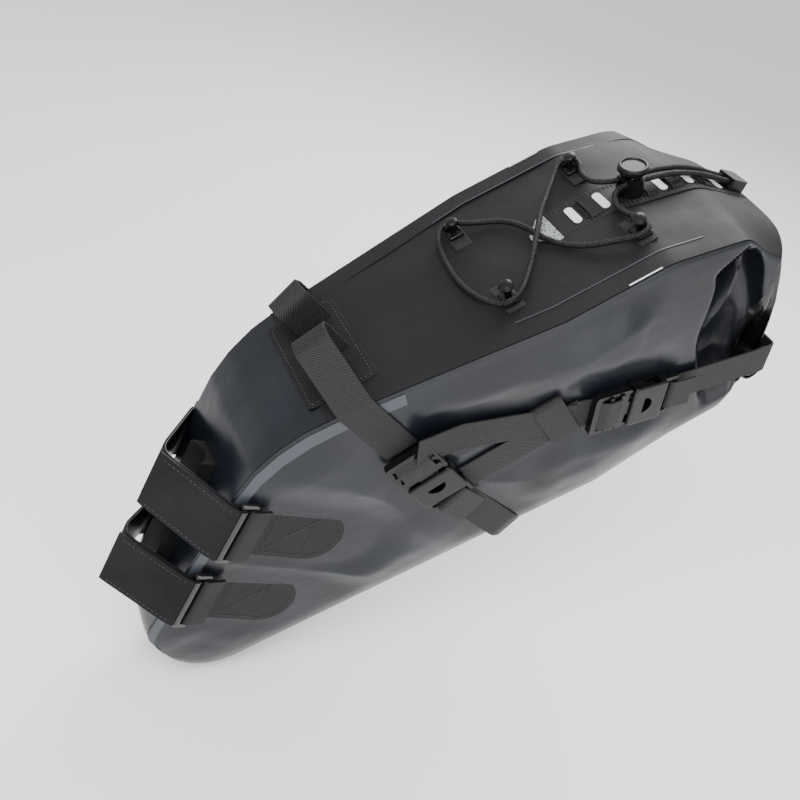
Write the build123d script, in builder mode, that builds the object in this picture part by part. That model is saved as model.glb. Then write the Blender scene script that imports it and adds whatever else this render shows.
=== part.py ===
from build123d import *
import math
import os

# A roll-top saddle bag as it hangs on a bicycle. X runs rearwards, Y to the rider's right, +Z up.
# The origin lies on the seatpost's axis, at the middle of the upper seatpost strap.
# Most sizes are measured in the bag's own directions: u along its length, w square to it, both
# in the plane Y = 0. The bag is pitched nose down, and the seatpost leans back.

os.makedirs("parts", exist_ok=True)

# Pose
bag_pitch = 30.0
post_lean = 73.0

# Bag
nose_u = -85.0
nose_top_w = -105.0
nose_bottom_w = -196.0
top_w = 38.0
top_bend_u = 345.0
shoulder_u = 407.0
shoulder_w = 22.0
rear_top_u = 450.0
rear_top_w = -14.0
rear_bottom_u = 372.0
rear_bottom_w = -147.0
belly_bend_u = 332.0
belly_rise_u = 240.0
belly_rise_w = -158.0
gusset_behind_post = 19.0
nose_half_width = 31.0
rear_half_width = 79.0
taper_end_u = 267.0
wall = 2.0
nose_top_radius = 20.0
nose_bottom_radius = 42.0
top_front_radius = 120.0
shoulder_radius = 34.0
top_seam_u = 130.0
bottom_seam_u = -28.0
board_thickness = 1.5
board_margin = 4.0

# Seatpost and its straps
post_radius = 13.6
post_clearance = 0.1
strap_width = 46.0
strap_spacing = 77.0
strap_thickness = 2.0
ring_wire = 3.5
ring_setback = 30.0
ring_depth = 13.0
tab_length = 78.0
tab_thickness = 2.0
tab_standoff = 1.1
edge_allowance = 1.6
post_pad_width = 24.0
tail_turn_gap = 0.5

# Webbing
web_width = 25.0
web_thickness = 1.4
web_lift = 1.2
layer_gap = 0.3
keeper_wall = 0.7
keeper_width = 14.0

# Side release buckles
buckle_width = 35.0
buckle_height = 9.6
buckle_wall = 1.6
male_length = 30.0
female_length = 38.0
socket_half = 13.0
buckle_lift = 2.9
prong_gap = 0.5
bar_size = 4.0
slot_run = 5.0
slot_play = 4.0
belly_play = 1.7
belly_slack = 3.1

# Where the buckles sit on the side panels, as u, w and the strap's direction
rail_mouth = (151.5, -43.0)
rail_angle = -74.0
keeper_u = 262.0
keeper_w = -50.0
closure_angle = -19.0
closure_mouth_run = 37.0
compression_start = (175.5, -70.0)
tail_start = (172.0, -18.0)
belly_angle = -68.0

# Saddle rails
rail_half_spacing = 22.0
rail_height = 30.0

# Roll closure
roll_overhang = 2.0
roll_length = 26.0
roll_depth = 20.0
neck_wall = 1.5
neck_clearance = 0.5
neck_engagement = 50.0
stiffener_thickness = 2.0
stiffener_width = 18.0

# Cord on the top
cord_diameter = 4.0
hook_front_u = 248.0
hook_rear_u = 344.0
hook_half_front = 40.0
hook_half_rear = 43.0
hook_post = 5.0
hook_head = 8.4
hook_base = (11.0, 14.0, 2.4)
tab_size = (12.0, 26.0)
lock_u = 363.0
lock_diameter = 18.4
lock_height = 13.3
lock_wall = 1.6
lock_floor = 1.2
button_diameter = 20.6
button_thickness = 3.0
button_travel = 3.5
button_play = 0.25
clip_size = (16.0, 17.0, 8.0)
clip_u = 443.0
chain_start_u = 300.0
chain_width = 30.0
chain_thickness = 1.4
bar_start = 20.0
bar_pitch = 22.0
bar_face = (18.0, 6.0)
bar_thickness = 0.5
bar_count = 6

roll_width = 2 * (rear_half_width + roll_overhang)
half_turn = math.radians(bag_pitch)
along = Vector(math.cos(half_turn), 0, math.sin(half_turn))
above = Vector(-math.sin(half_turn), 0, math.cos(half_turn))
post_axis = Vector(math.cos(math.radians(post_lean)), 0, math.sin(math.radians(post_lean)))
post_angle = post_lean - bag_pitch

side_view = Plane(origin=(0, 0, 0), x_dir=along, z_dir=(0, -1, 0))
taper = (rear_half_width - nose_half_width) / (taper_end_u - nose_u)
# How much wider the bag is at a strap's upper edge than at its middle
strap_rise = taper * strap_width / 2 * math.cos(math.radians(post_angle))
far = 120.0


def half_width(u):
    """Half the bag's width at a place along it."""
    return nose_half_width + taper * (min(u, taper_end_u) - nose_u)


def across(u):
    """Plane square to the bag's length: local x is Y, local y is w."""
    return Plane(origin=along * u, x_dir=(0, 1, 0), z_dir=along)


def level(w):
    """Plane square to w: local x is u, local y is Y."""
    return Plane(origin=above * w, x_dir=along, z_dir=above)


def place(u, y, w):
    """A point given in the bag's directions."""
    return along * u + Vector(0, y, 0) + above * w


def on_side(u, w, angle):
    """Plane lying on the left side panel: local x runs along a strap, local z points outwards."""
    slope = taper if u < taper_end_u else 0.0
    rearwards = (along - Vector(0, slope, 0)).normalized()
    out = above.cross(rearwards).normalized()
    out = out if out.Y < 0 else out * -1
    turn = math.radians(angle)
    run = rearwards * math.cos(turn) + above * math.sin(turn)
    return Plane(origin=place(u, -half_width(u), w), x_dir=run, z_dir=out)


def edge_on(flat):
    """The same place seen along the webbing's width: local x is the run, local y is outwards."""
    return Plane(origin=flat.origin, x_dir=flat.x_dir, z_dir=flat.y_dir * -1)


def about_post(height):
    """Plane square to the seatpost: local x points rearwards, local y is Y."""
    return Plane(origin=post_axis * height, x_dir=post_axis.cross(Vector(0, 1, 0)) * -1, z_dir=post_axis)


def keep(builder, name):
    builder.part.label = name
    export_step(builder.part, f"parts/{name}.step")


def keep_pair(builder, name):
    keep(builder, f"{name}_left")
    with BuildPart() as other:
        mirror(builder.part, about=Plane.XZ)
    keep(other, f"{name}_right")


def ribbon(plane, points, thickness, width, radius):
    """Flat strap whose middle line follows points in a plane, with rounded bends."""
    with BuildPart() as strap:
        with BuildSketch(plane):
            with BuildLine():
                if len(points) > 2:
                    FilletPolyline(*points, radius=radius)
                else:
                    Polyline(*points)
                offset(amount=thickness / 2)
            make_face()
        extrude(amount=width / 2, both=True)
    return strap


# ---- Shell -------------------------------------------------------------------------------

def front_line_u(w, gap):
    """Where the nose's front face, parallel to the seatpost, lies at a height w."""
    lean = math.radians(post_angle)
    return (gap + w * math.cos(lean)) / math.sin(lean)


def bag_outline(extra_rear):
    """Corners of the side outline and their radii. The rear edge moves out by extra_rear."""
    lean = math.radians(post_angle)
    nose_corner_w = (nose_u * math.sin(lean) - gusset_behind_post) / math.cos(lean)
    front_top_u = front_line_u(top_w, gusset_behind_post)
    slope = (rear_top_w - shoulder_w) / (rear_top_u - shoulder_u)
    return [
        ((nose_u, nose_corner_w), nose_top_radius),
        ((nose_u, nose_bottom_w), nose_bottom_radius),
        ((belly_rise_u, belly_rise_w), 0),
        ((belly_bend_u, rear_bottom_w), 0),
        ((rear_bottom_u + extra_rear, rear_bottom_w), 0),
        ((rear_top_u + extra_rear, rear_top_w + extra_rear * slope), 0),
        ((shoulder_u, shoulder_w), shoulder_radius),
        ((top_bend_u, top_w), shoulder_radius),
        ((front_top_u, top_w), top_front_radius),
    ]


def outline_sketch(extra_rear, inset):
    corners = bag_outline(extra_rear)
    with BuildSketch(side_view) as face:
        with BuildLine():
            Polyline(*[point for point, radius in corners], close=True)
        make_face()
        for point, radius in corners:
            if radius:
                fillet(face.vertices().sort_by_distance(Vector(*point))[0], radius)
        if inset:
            offset(amount=-inset)
    return face


def plan_sketch(inset):
    """The bag seen from above, each side moved in by inset."""
    ends = [(nose_u - far, half_width(nose_u - far)), (taper_end_u, rear_half_width),
            (rear_top_u + far, rear_half_width)]
    with BuildSketch(level(0)) as plan:
        with BuildLine():
            Polyline(*[(u, half - inset) for u, half in ends],
                     *[(u, inset - half) for u, half in reversed(ends)],
                     close=True)
        make_face()
    return plan


outer_face = outline_sketch(0, 0)
inner_face = outline_sketch(far, wall)

with BuildPart() as band:
    extrude(outer_face.sketch, amount=far, both=True)
    extrude(inner_face.sketch, amount=far, both=True, mode=Mode.SUBTRACT)
    extrude(plan_sketch(wall).sketch, amount=3 * far, both=True, mode=Mode.INTERSECT)

with BuildPart() as top_panel:
    add(band.part)
    split(bisect_by=across(top_seam_u), keep=Keep.TOP)
    split(bisect_by=level((rear_top_w + rear_bottom_w) / 2), keep=Keep.TOP)
keep(top_panel, "top_panel")

with BuildPart() as bottom_panel:
    add(band.part)
    split(bisect_by=across(bottom_seam_u), keep=Keep.TOP)
    split(bisect_by=level((rear_top_w + rear_bottom_w) / 2), keep=Keep.BOTTOM)
keep(bottom_panel, "bottom_panel")

with BuildPart() as nose_panel:
    add(band.part)
    add(top_panel.part, mode=Mode.SUBTRACT)
    add(bottom_panel.part, mode=Mode.SUBTRACT)
keep(nose_panel, "nose_panel")

with BuildPart() as side_panel:
    extrude(outer_face.sketch, amount=far)
    extrude(plan_sketch(0).sketch, amount=3 * far, both=True, mode=Mode.INTERSECT)
    extrude(plan_sketch(wall).sketch, amount=3 * far, both=True, mode=Mode.SUBTRACT)
keep_pair(side_panel, "side_panel")

board_outer = outline_sketch(far, wall)
board_inner = outline_sketch(far, wall + board_thickness)
board_top_w = nose_top_w - nose_top_radius

with BuildPart() as stiffener_board:
    extrude(board_outer.sketch, amount=far, both=True)
    extrude(board_inner.sketch, amount=far, both=True, mode=Mode.SUBTRACT)
    extrude(plan_sketch(wall + board_margin).sketch, amount=3 * far, both=True, mode=Mode.INTERSECT)
    split(bisect_by=level(board_top_w), keep=Keep.BOTTOM)
    split(bisect_by=across(belly_rise_u), keep=Keep.BOTTOM)
keep(stiffener_board, "stiffener_board")
print("shell done")

# ---- Seatpost straps ---------------------------------------------------------------------

strap_mid_radius = post_radius + post_clearance + strap_thickness / 2


def ring_place(height):
    """Rearward distance and half spacing of a strap's two rings."""
    centre = post_axis * height + about_post(height).x_dir * ring_setback
    return ring_setback, half_width(centre.dot(along)) + ring_wire + layer_gap + tab_standoff + strap_rise


def strap_corner(height):
    """Where a strap bends round the front edge of the side panel."""
    rearwards = gusset_behind_post - 1
    centre = post_axis * height + about_post(height).x_dir * rearwards
    return rearwards, half_width(centre.dot(along)) + strap_thickness + layer_gap + edge_allowance


def tangent_corner(rearwards, half):
    """Point ahead of the post where the lines from both bends, tangent to the strap, meet."""
    reach = math.hypot(rearwards, half)
    lean = math.atan2(half, rearwards) - math.asin(strap_mid_radius / reach)
    return -strap_mid_radius / math.sin(lean)


def ring_outline(plane, length, depth, name):
    """Rectangular wire loop, its long bars along the plane's local y."""
    with BuildPart() as ring:
        with BuildSketch(plane):
            RectangleRounded(depth, length, ring_wire)
            RectangleRounded(depth - 2 * ring_wire, length - 2 * ring_wire, ring_wire / 4, mode=Mode.SUBTRACT)
        extrude(amount=ring_wire / 2, both=True)
        fillet(ring.edges().filter_by(GeomType.LINE), ring_wire / 4)
    keep_pair(ring, name)


def seatpost_strap(name, height):
    plane = about_post(height)
    ring_q, ring_y = ring_place(height)
    bend_q, bend_y = strap_corner(height)
    hairpin = (ring_wire + strap_thickness) / 2 + layer_gap
    bar_q = ring_q - (ring_depth - ring_wire) / 2
    near_leg = [
        (bar_q - 2, ring_y + hairpin), (bar_q + hairpin, ring_y + hairpin),
        (bar_q + hairpin, ring_y - hairpin), (bend_q, bend_y),
    ]
    front = tangent_corner(bend_q, bend_y)
    points = [(q, -y) for q, y in near_leg] + [(front, 0)] + list(reversed(near_leg))
    small = hairpin * 0.8
    radii = [small, small, 2 * hairpin, strap_mid_radius, 2 * hairpin, small, small]
    strap = ribbon(plane, points, strap_thickness, strap_width, radii)
    keep(strap, f"{name}_strap")

    # The tail lies on the left leg and ends at the front of the post.
    layer = strap_thickness + layer_gap
    lean = math.atan2(bend_y, bend_q - front)
    outer_front = front - layer / math.sin(lean)
    start_q = bar_q - 2 - strap_thickness - tail_turn_gap
    tail_points = [(start_q, -ring_y - hairpin), (bend_q - layer / 2, -bend_y - layer), (outer_front, 0),
                   (front + 2, bend_y / 3)]
    with BuildPart() as tail:
        with BuildSketch(plane):
            with BuildLine():
                FilletPolyline(*tail_points, radius=[2 * hairpin, strap_mid_radius + layer])
                offset(amount=strap_thickness / 2)
            make_face()
            with Locations((outer_front, far / 2)):
                Rectangle(far * 2, far, mode=Mode.SUBTRACT)
        extrude(amount=strap_width / 2, both=True)
    keep(tail, f"{name}_strap_tail")
    turn = plane.from_local_coords((start_q, -ring_y - hairpin))
    print(f"{name} tail turns about {turn.X:.2f} {turn.Y:.2f} {turn.Z:.2f}")

    # The ring stands in the strap's own direction, and the tab folds round its rear bar.
    ring_plane = Plane(origin=plane.from_local_coords((ring_q, -ring_y)), x_dir=plane.x_dir,
                       z_dir=(0, -1, 0))
    ring_outline(ring_plane, strap_width + 2 * ring_wire + 2, ring_depth, f"{name}_ring")

    tab_q = ring_q + (ring_depth - ring_wire) / 2
    wrap = (ring_wire + tab_thickness) / 2 + layer_gap
    neck_end = plane.from_local_coords((tab_q + 16, 0)).dot(along)
    neck_y = half_width(neck_end) + tab_thickness + layer_gap + strap_rise / 2
    neck_points = [(tab_q + 6, -ring_y - wrap), (tab_q - wrap, -ring_y - wrap),
        (tab_q - wrap, -ring_y + wrap + 0.6),
                   (tab_q + 16, -neck_y)]
    with BuildPart() as tab:
        with BuildSketch(plane):
            with BuildLine():
                FilletPolyline(*neck_points, radius=wrap * 0.8)
                offset(amount=tab_thickness / 2)
            make_face()
        extrude(amount=strap_width / 2, both=True)
        start = plane.from_local_coords((tab_q + 10, 0))
        flat = on_side(start.dot(along), start.dot(above), -(90 - post_angle))
        with BuildSketch(flat.offset(layer_gap)):
            with Locations(((tab_length - 10 - strap_width / 2) / 2, 0)):
                Rectangle(tab_length - 10 - strap_width / 2, strap_width)
            with Locations((tab_length - 10 - strap_width / 2, 0)):
                Circle(strap_width / 2)
        extrude(amount=tab_thickness + 1)
    keep_pair(tab, f"{name}_tab")


seatpost_strap("upper", 0)
seatpost_strap("lower", -strap_spacing)

with BuildPart() as post_pads:
    for height in (0, -strap_spacing):
        with BuildSketch(about_post(height)):
            with Locations(((gusset_behind_post - layer_gap) / 2, 0)):
                Rectangle(gusset_behind_post - layer_gap, post_pad_width)
            Circle(post_radius + post_clearance, mode=Mode.SUBTRACT)
        extrude(amount=strap_width / 2, both=True)
keep(post_pads, "post_pads")
print("seatpost straps done")

# ---- Side release buckles ----------------------------------------------------------------

prong_height = buckle_height - 2 * buckle_wall - 2 * prong_gap
prong_base = buckle_wall + prong_gap
prong_outer = socket_half - 0.5
prong_inner = prong_outer - 4.3
prong_reach = 22.5
knuckle_run = 2.5
knuckle_y = prong_outer - 2.4
knuckle_radius = 2.1
window_start = 11.0
window_end = 22.5
socket_depth = 25.0
bar_run = female_length - bar_size / 2
slot_start = bar_run - bar_size / 2 - slot_run


def female_half(flat):
    """Socket with side windows, a window on top and a bar for the webbing."""
    base = flat.offset(buckle_lift)
    middle = (slot_start - 1) / 2
    with BuildPart() as female:
        with BuildSketch(base):
            with Locations((middle, 0)):
                RectangleRounded(slot_start - 1, buckle_width, 3)
        extrude(amount=buckle_height)
        outwards = Axis(flat.origin, flat.z_dir)
        fillet(female.edges().filter_by(Axis(flat.origin, flat.y_dir)).sort_by(outwards)[-2:], 1.5)
        with BuildSketch(base.offset((buckle_height - bar_size) / 2)):
            with Locations(((bar_run + bar_size / 2 + middle) / 2, 0)):
                Rectangle(bar_run + bar_size / 2 - middle, buckle_width)
            with Locations((slot_start + slot_run / 2, 0)):
                Rectangle(slot_run, web_width + slot_play, mode=Mode.SUBTRACT)
        extrude(amount=bar_size)
        with BuildSketch(base.offset(buckle_wall)):
            with Locations(((socket_depth - 1) / 2, 0)):
                Rectangle(socket_depth + 1, 2 * socket_half)
            with Locations(((window_start + window_end) / 2, 0)):
                Rectangle(window_end - window_start, buckle_width + 4)
        extrude(amount=buckle_height - 2 * buckle_wall, mode=Mode.SUBTRACT)
        with BuildSketch(base.offset(buckle_height - buckle_wall)):
            with Locations((window_start - 1, 0)):
                Circle(7)
            with Locations((window_start - 5, 0)):
                Rectangle(8, 16, mode=Mode.SUBTRACT)
        extrude(amount=buckle_wall + 1, mode=Mode.SUBTRACT)
    return female


def male_half(flat):
    """Ladder-lock frame with two sockets for the roots of the prongs."""
    base = flat.offset(buckle_lift + prong_base)
    with BuildPart() as male:
        with BuildSketch(base):
            with Locations((-(male_length + 0.4) / 2, 0)):
                RectangleRounded(male_length - 0.4, buckle_width, 3)
            with Locations((-2, 0)):
                Rectangle(6, 2 * prong_outer)
            with Locations((-22.6, 0), (-13.2, 0)):
                Rectangle(4.6, web_width + slot_play, mode=Mode.SUBTRACT)
            with Locations((knuckle_run - 1.5, knuckle_y), (knuckle_run - 1.5, -knuckle_y)):
                Rectangle(2 * knuckle_radius + 3.2, 2 * knuckle_radius + 4, mode=Mode.SUBTRACT)
        extrude(amount=prong_height)
        with BuildSketch(base):
            with Locations((-9, 0), (-17.9, 0)):
                Rectangle(3, buckle_width - 4)
        extrude(amount=prong_height + 1.4)
    return male


def prong(flat, hand):
    """Spring arm whose barb sits in the side window. Its outer ramp clears the socket as it turns."""
    base = flat.offset(buckle_lift + prong_base)
    outline = [
        (knuckle_run, prong_inner + 0.4), (prong_reach - 3, prong_inner), (prong_reach, prong_inner + 1),
        (prong_reach + 0.5, prong_outer - 1.5), (prong_reach - 2.5, prong_outer + 2),
        (prong_reach - 4.5, prong_outer + 2),
        (window_start + 0.4, prong_outer), (knuckle_run, prong_outer - 0.3),
    ]
    with BuildPart() as arm:
        with BuildSketch(base):
            with BuildLine():
                Polyline(*[(run, hand * y) for run, y in outline], close=True)
            make_face()
            with Locations((knuckle_run, hand * knuckle_y)):
                Circle(knuckle_radius)
        extrude(amount=prong_height)
    return arm


def buckle(name, flat):
    keep_pair(female_half(flat), f"{name}_socket")
    keep_pair(male_half(flat), f"{name}_plug")
    for label, hand in (("front", -1), ("rear", 1)):
        keep_pair(prong(flat, hand), f"{name}_prong_{label}")
        turn = flat.from_local_coords((knuckle_run, hand * knuckle_y, 0))
        print(f"{name} {label} prong turns about {turn.X:.2f} {turn.Y:.2f} {turn.Z:.2f}")
    print(f"{name} run {flat.x_dir} out {flat.z_dir}")


rail_flat = on_side(*rail_mouth, rail_angle)
closure_turn = math.radians(closure_angle)
closure_mouth = (keeper_u + closure_mouth_run * math.cos(closure_turn),
                 keeper_w + closure_mouth_run * math.sin(closure_turn))
closure_flat = on_side(*closure_mouth, closure_angle)
buckle("rail_buckle", rail_flat)
buckle("closure_buckle", closure_flat)
print("buckles done")

# ---- Webbing -----------------------------------------------------------------------------

low_layer = web_lift + web_thickness / 2
edge_plane = edge_on(rail_flat)
seam_run = -(top_w - rail_mouth[1]) / math.sin(math.radians(-rail_angle))
seam_half = half_width(rail_mouth[0] + seam_run * math.cos(math.radians(rail_angle)))
loop_out = rail_half_spacing - seam_half
loop_half = 7.0
loop_run = seam_run - rail_height
anchor_gap = 6.0
bar_height = buckle_lift + buckle_height / 2

rail_points = [
    (-7, low_layer), (seam_run - 5, low_layer), (loop_run - 8, loop_out + loop_half),
    (loop_run - 8, loop_out - loop_half), (seam_run - anchor_gap, loop_out - loop_half),
]
rail_strap = ribbon(edge_plane, rail_points, web_thickness, web_width, [6, 5, 5])
keep_pair(rail_strap, "rail_strap")

anchor_size = (52.0, 2 * (rail_half_spacing + loop_half) + 30)
with BuildPart() as rail_strap_anchor:
    foot = edge_plane.from_local_coords((seam_run, 0))
    with BuildSketch(level(top_w + layer_gap)):
        with Locations((foot.dot(along) - 2, 0)):
            RectangleRounded(*anchor_size, 6)
    extrude(amount=web_thickness)
keep(rail_strap_anchor, "rail_strap_anchor")

# The belly strap is folded round both rail buckle bars and passes under the bag.
belly_turn = math.radians(belly_angle)
bar_point = rail_flat.from_local_coords((bar_run, 0, 0))
bar_u, bar_w = bar_point.dot(along), bar_point.dot(above)
belly_run = along * math.cos(belly_turn) + above * math.sin(belly_turn)
belly_plane = Plane(origin=place(bar_u, 0, bar_w), x_dir=belly_run, z_dir=belly_run.cross(Vector(0, -1, 0)))
bar_wrap = (bar_size + web_thickness) / 2 + 0.5
bar_out = half_width(bar_u) + bar_height
bottom_run = (bar_w - belly_rise_w) / -math.sin(belly_turn) + 13
belly_half = half_width(bar_u + bottom_run * math.cos(belly_turn)) + belly_slack + taper * web_width / 2
belly_wrap = bar_wrap + belly_play
slot_middle = (bar_size + slot_run) / 2
leg = [
    (17, bar_out + belly_wrap), (-slot_middle, bar_out + belly_wrap), (-slot_middle, bar_out - belly_wrap),
    (12, bar_out - belly_wrap), (bottom_run, belly_half),
]
belly_points = leg + [(run, -out) for run, out in reversed(leg)]
bend = bar_wrap / 2
belly_radii = [bend, bend, 12, 8, 8, 12, bend, bend]
belly_strap = ribbon(belly_plane, belly_points, web_thickness, web_width, belly_radii)
keep(belly_strap, "belly_strap")

# Compression strap: one leg from the bar to the keeper, one from the keeper through the buckle.
leg_angle = math.degrees(math.atan2(keeper_w - compression_start[1], keeper_u - compression_start[0]))
leg_length = math.hypot(keeper_w - compression_start[1], keeper_u - compression_start[0])
leg_flat = on_side(*compression_start, leg_angle)
main_flat = on_side(closure_mouth[0], closure_mouth[1], closure_angle)
with BuildPart() as compression_strap:
    with BuildSketch(leg_flat.offset(web_lift)):
        with Locations((leg_length / 2, 0)):
            Rectangle(leg_length, web_width)
        with Locations((leg_length, 0)):
            Circle(web_width / 2)
    extrude(amount=web_thickness)
    with BuildSketch(main_flat.offset(web_lift)):
        with Locations((-(closure_mouth_run + 5) / 2, 0)):
            Rectangle(closure_mouth_run - 11, web_width)
    extrude(amount=web_thickness)
keep_pair(compression_strap, "compression_strap")

tail_end = (keeper_u - 6, keeper_w + 1)
tail_angle = math.degrees(math.atan2(tail_end[1] - tail_start[1], tail_end[0] - tail_start[0]))
tail_length = math.hypot(tail_end[1] - tail_start[1], tail_end[0] - tail_start[0])
with BuildPart() as rail_strap_tail:
    with BuildSketch(on_side(*tail_start, tail_angle).offset(web_lift + web_thickness + layer_gap)):
        with Locations((tail_length / 2, 0)):
            Rectangle(tail_length, web_width)
    extrude(amount=web_thickness)
keep_pair(rail_strap_tail, "rail_strap_tail")

keeper_run = leg_length - 14
keeper_low = web_lift - layer_gap - keeper_wall
keeper_high = web_lift + 2 * web_thickness + 2 * layer_gap
keeper_flat = on_side(compression_start[0] + keeper_run * math.cos(math.radians(leg_angle)),
                      compression_start[1] + keeper_run * math.sin(math.radians(leg_angle)), leg_angle)
keeper_inside = web_width + 17
keeper_shift = 6.5
with BuildPart() as keeper:
    with BuildSketch(keeper_flat.offset(keeper_low)):
        with Locations((0, keeper_shift)):
            Rectangle(keeper_width, keeper_inside + 2 * keeper_wall)
    extrude(amount=keeper_high - keeper_low + keeper_wall)
    with BuildSketch(keeper_flat.offset(keeper_low + keeper_wall)):
        with Locations((0, keeper_shift)):
            Rectangle(2 * keeper_width, keeper_inside)
    extrude(amount=keeper_high - keeper_low - keeper_wall, mode=Mode.SUBTRACT)
keep_pair(keeper, "keeper")
print("webbing done")

# ---- Roll closure ------------------------------------------------------------------------

closure_dir = along * math.cos(closure_turn) + above * math.sin(closure_turn)
neck_view = Plane(origin=(0, 0, 0), x_dir=closure_dir, z_dir=(0, -1, 0))


def in_neck(u, w):
    point = neck_view.to_local_coords(place(u, 0, w))
    return point.X, point.Y


rim_top = in_neck(rear_top_u - wall, rear_top_w)
rim_bottom = in_neck(rear_bottom_u, rear_bottom_w + wall)
neck_top = rim_top[1] - wall - neck_clearance
neck_bottom = rim_bottom[1] + neck_clearance + wall
neck_front = rim_bottom[0] - neck_engagement
neck_half = rear_half_width - wall - neck_clearance
rear_gap = 1.0

with BuildPart() as mouth_neck:
    with BuildSketch(neck_view):
        with BuildLine():
            Polyline((neck_front, neck_bottom), (rim_bottom[0] + rear_gap, neck_bottom),
                     (rim_top[0] + rear_gap, neck_top), (neck_front, neck_top), close=True)
        make_face()
    extrude(amount=neck_half, both=True)
    with BuildSketch(neck_view):
        with BuildLine():
            Polyline((neck_front - far, neck_bottom + neck_wall),
                     (rim_bottom[0] + rear_gap - neck_wall, neck_bottom + neck_wall),
                     (rim_top[0] + rear_gap - neck_wall, neck_top - neck_wall),
                     (neck_front - far, neck_top - neck_wall),
                     close=True)
        make_face()
    extrude(amount=neck_half - neck_wall, both=True, mode=Mode.SUBTRACT)
keep(mouth_neck, "mouth_neck")

rear_slope = math.atan2(rim_top[0] - rim_bottom[0], rim_top[1] - rim_bottom[1])
roll_up = 0.30
roll_out = rear_gap + (roll_depth / 2 + layer_gap) / math.cos(rear_slope)
roll_centre = (rim_bottom[0] + roll_up * (rim_top[0] - rim_bottom[0]) + roll_out,
               rim_bottom[1] + roll_up * (rim_top[1] - rim_bottom[1]))
roll_origin = neck_view.from_local_coords(roll_centre)
rear_up = neck_view.x_dir * math.sin(rear_slope) + neck_view.y_dir * math.cos(rear_slope)
roll_plane = Plane(origin=roll_origin, x_dir=rear_up, z_dir=(0, -1, 0))

with BuildPart() as closure_roll:
    with BuildSketch(roll_plane):
        RectangleRounded(roll_length, roll_depth, roll_depth / 2 - 0.5)
        Rectangle(stiffener_width + 1, stiffener_thickness + 0.6, mode=Mode.SUBTRACT)
    extrude(amount=roll_width / 2, both=True)
keep(closure_roll, "closure_roll")

with BuildPart() as roll_stiffener:
    with BuildSketch(roll_plane):
        Rectangle(stiffener_width, stiffener_thickness)
    extrude(amount=roll_width / 2 - 6, both=True)
keep(roll_stiffener, "roll_stiffener")

# End webbing, folded round the closure buckle's bar and sewn to the end of the roll
closure_edge = edge_on(closure_flat)
roll_run = closure_flat.to_local_coords(roll_origin).X
end_layer = roll_width / 2 - rear_half_width + layer_gap + web_thickness / 2
webbing_points = [
    (bar_run + 17, bar_height + bar_wrap), (bar_run - bar_wrap, bar_height + bar_wrap),
    (bar_run - bar_wrap, bar_height - bar_wrap), (bar_run + 8, bar_height - bar_wrap),
    (roll_run - roll_depth, end_layer), (roll_run + 4, end_layer),
]
roll_webbing = ribbon(closure_edge, webbing_points, web_thickness, web_width, [bend, bend, 6, 6])
keep_pair(roll_webbing, "roll_webbing")
print("closure done")

# ---- Cord and what holds it --------------------------------------------------------------

def top_w_at(u):
    """Height of the straight-sided top at a place along the bag."""
    if u <= top_bend_u:
        return top_w
    if u <= shoulder_u:
        return top_w + (u - top_bend_u) * (shoulder_w - top_w) / (shoulder_u - top_bend_u)
    return shoulder_w + (u - shoulder_u) * (rear_top_w - shoulder_w) / (rear_top_u - shoulder_u)


def on_top(u, y):
    """Plane lying on the top: local x runs rearwards down the slope, local z points up and out."""
    step = place(u + 1, 0, top_w_at(u + 1)) - place(u, 0, top_w_at(u))
    run = step.normalized()
    return Plane(origin=place(u, y, top_w_at(u)), x_dir=run, z_dir=run.cross(Vector(0, 1, 0)))


chain_low = layer_gap
chain_high = layer_gap + chain_thickness
hook_places = [(hook_front_u, hook_half_front), (hook_rear_u, hook_half_rear)]

with BuildPart() as daisy_chain:
    extrude(outline_sketch(0, -chain_high).sketch, amount=chain_width / 2, both=True)
    extrude(outline_sketch(0, -chain_low).sketch, amount=chain_width / 2, both=True, mode=Mode.SUBTRACT)
    split(bisect_by=across(chain_start_u), keep=Keep.TOP)
    split(bisect_by=level(rear_top_w + 2), keep=Keep.TOP)
keep(daisy_chain, "daisy_chain")

bar_places = [chain_start_u + bar_start + n * bar_pitch for n in range(bar_count)]
bar_places = [u for u in bar_places if abs(u - lock_u) > lock_diameter / 2 + 4]


def bar_plane(u):
    """Plane lying on the top at a bar. At the shoulder it lies on the middle of the rounded bend."""
    if abs(u - shoulder_u) > bar_face[1]:
        return on_top(u, 0)
    before, after = on_top(shoulder_u - 1, 0), on_top(shoulder_u, 0)
    run = (before.x_dir + after.x_dir).normalized()
    out = run.cross(Vector(0, 1, 0))
    half_bend = math.radians(before.x_dir.get_angle(after.x_dir) / 2)
    sink = shoulder_radius * (1 / math.cos(half_bend) - 1)
    return Plane(origin=place(shoulder_u, 0, shoulder_w) - out * sink, x_dir=run, z_dir=out)


with BuildPart() as reflective_bars:
    for u in bar_places:
        with BuildSketch(bar_plane(u).offset(chain_high + layer_gap)):
            SlotOverall(*bar_face, rotation=90)
        extrude(amount=bar_thickness)
keep(reflective_bars, "reflective_bars")

hook_low = layer_gap + web_thickness + layer_gap
with BuildPart() as hook_tabs:
    for u, y in hook_places:
        for hand in (-1, 1):
            with BuildSketch(on_top(u, hand * (y - 3)).offset(layer_gap)):
                RectangleRounded(*tab_size, 2)
            extrude(amount=web_thickness)
keep(hook_tabs, "hook_tabs")

with BuildPart() as cord_hooks:
    for u, y in hook_places:
        for hand in (-1, 1):
            floor = on_top(u, hand * y).offset(hook_low)
            with BuildSketch(floor):
                RectangleRounded(hook_base[0], hook_base[1], 2)
            extrude(amount=hook_base[2])
            with BuildSketch(floor.offset(hook_base[2])):
                Circle(hook_post / 2)
            extrude(amount=cord_diameter + 1.2)
            with BuildSketch(floor.offset(hook_base[2] + cord_diameter + 1.2)):
                Circle(hook_head / 2)
            extrude(amount=hook_head / 2, taper=24)
keep(cord_hooks, "cord_hooks")

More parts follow.
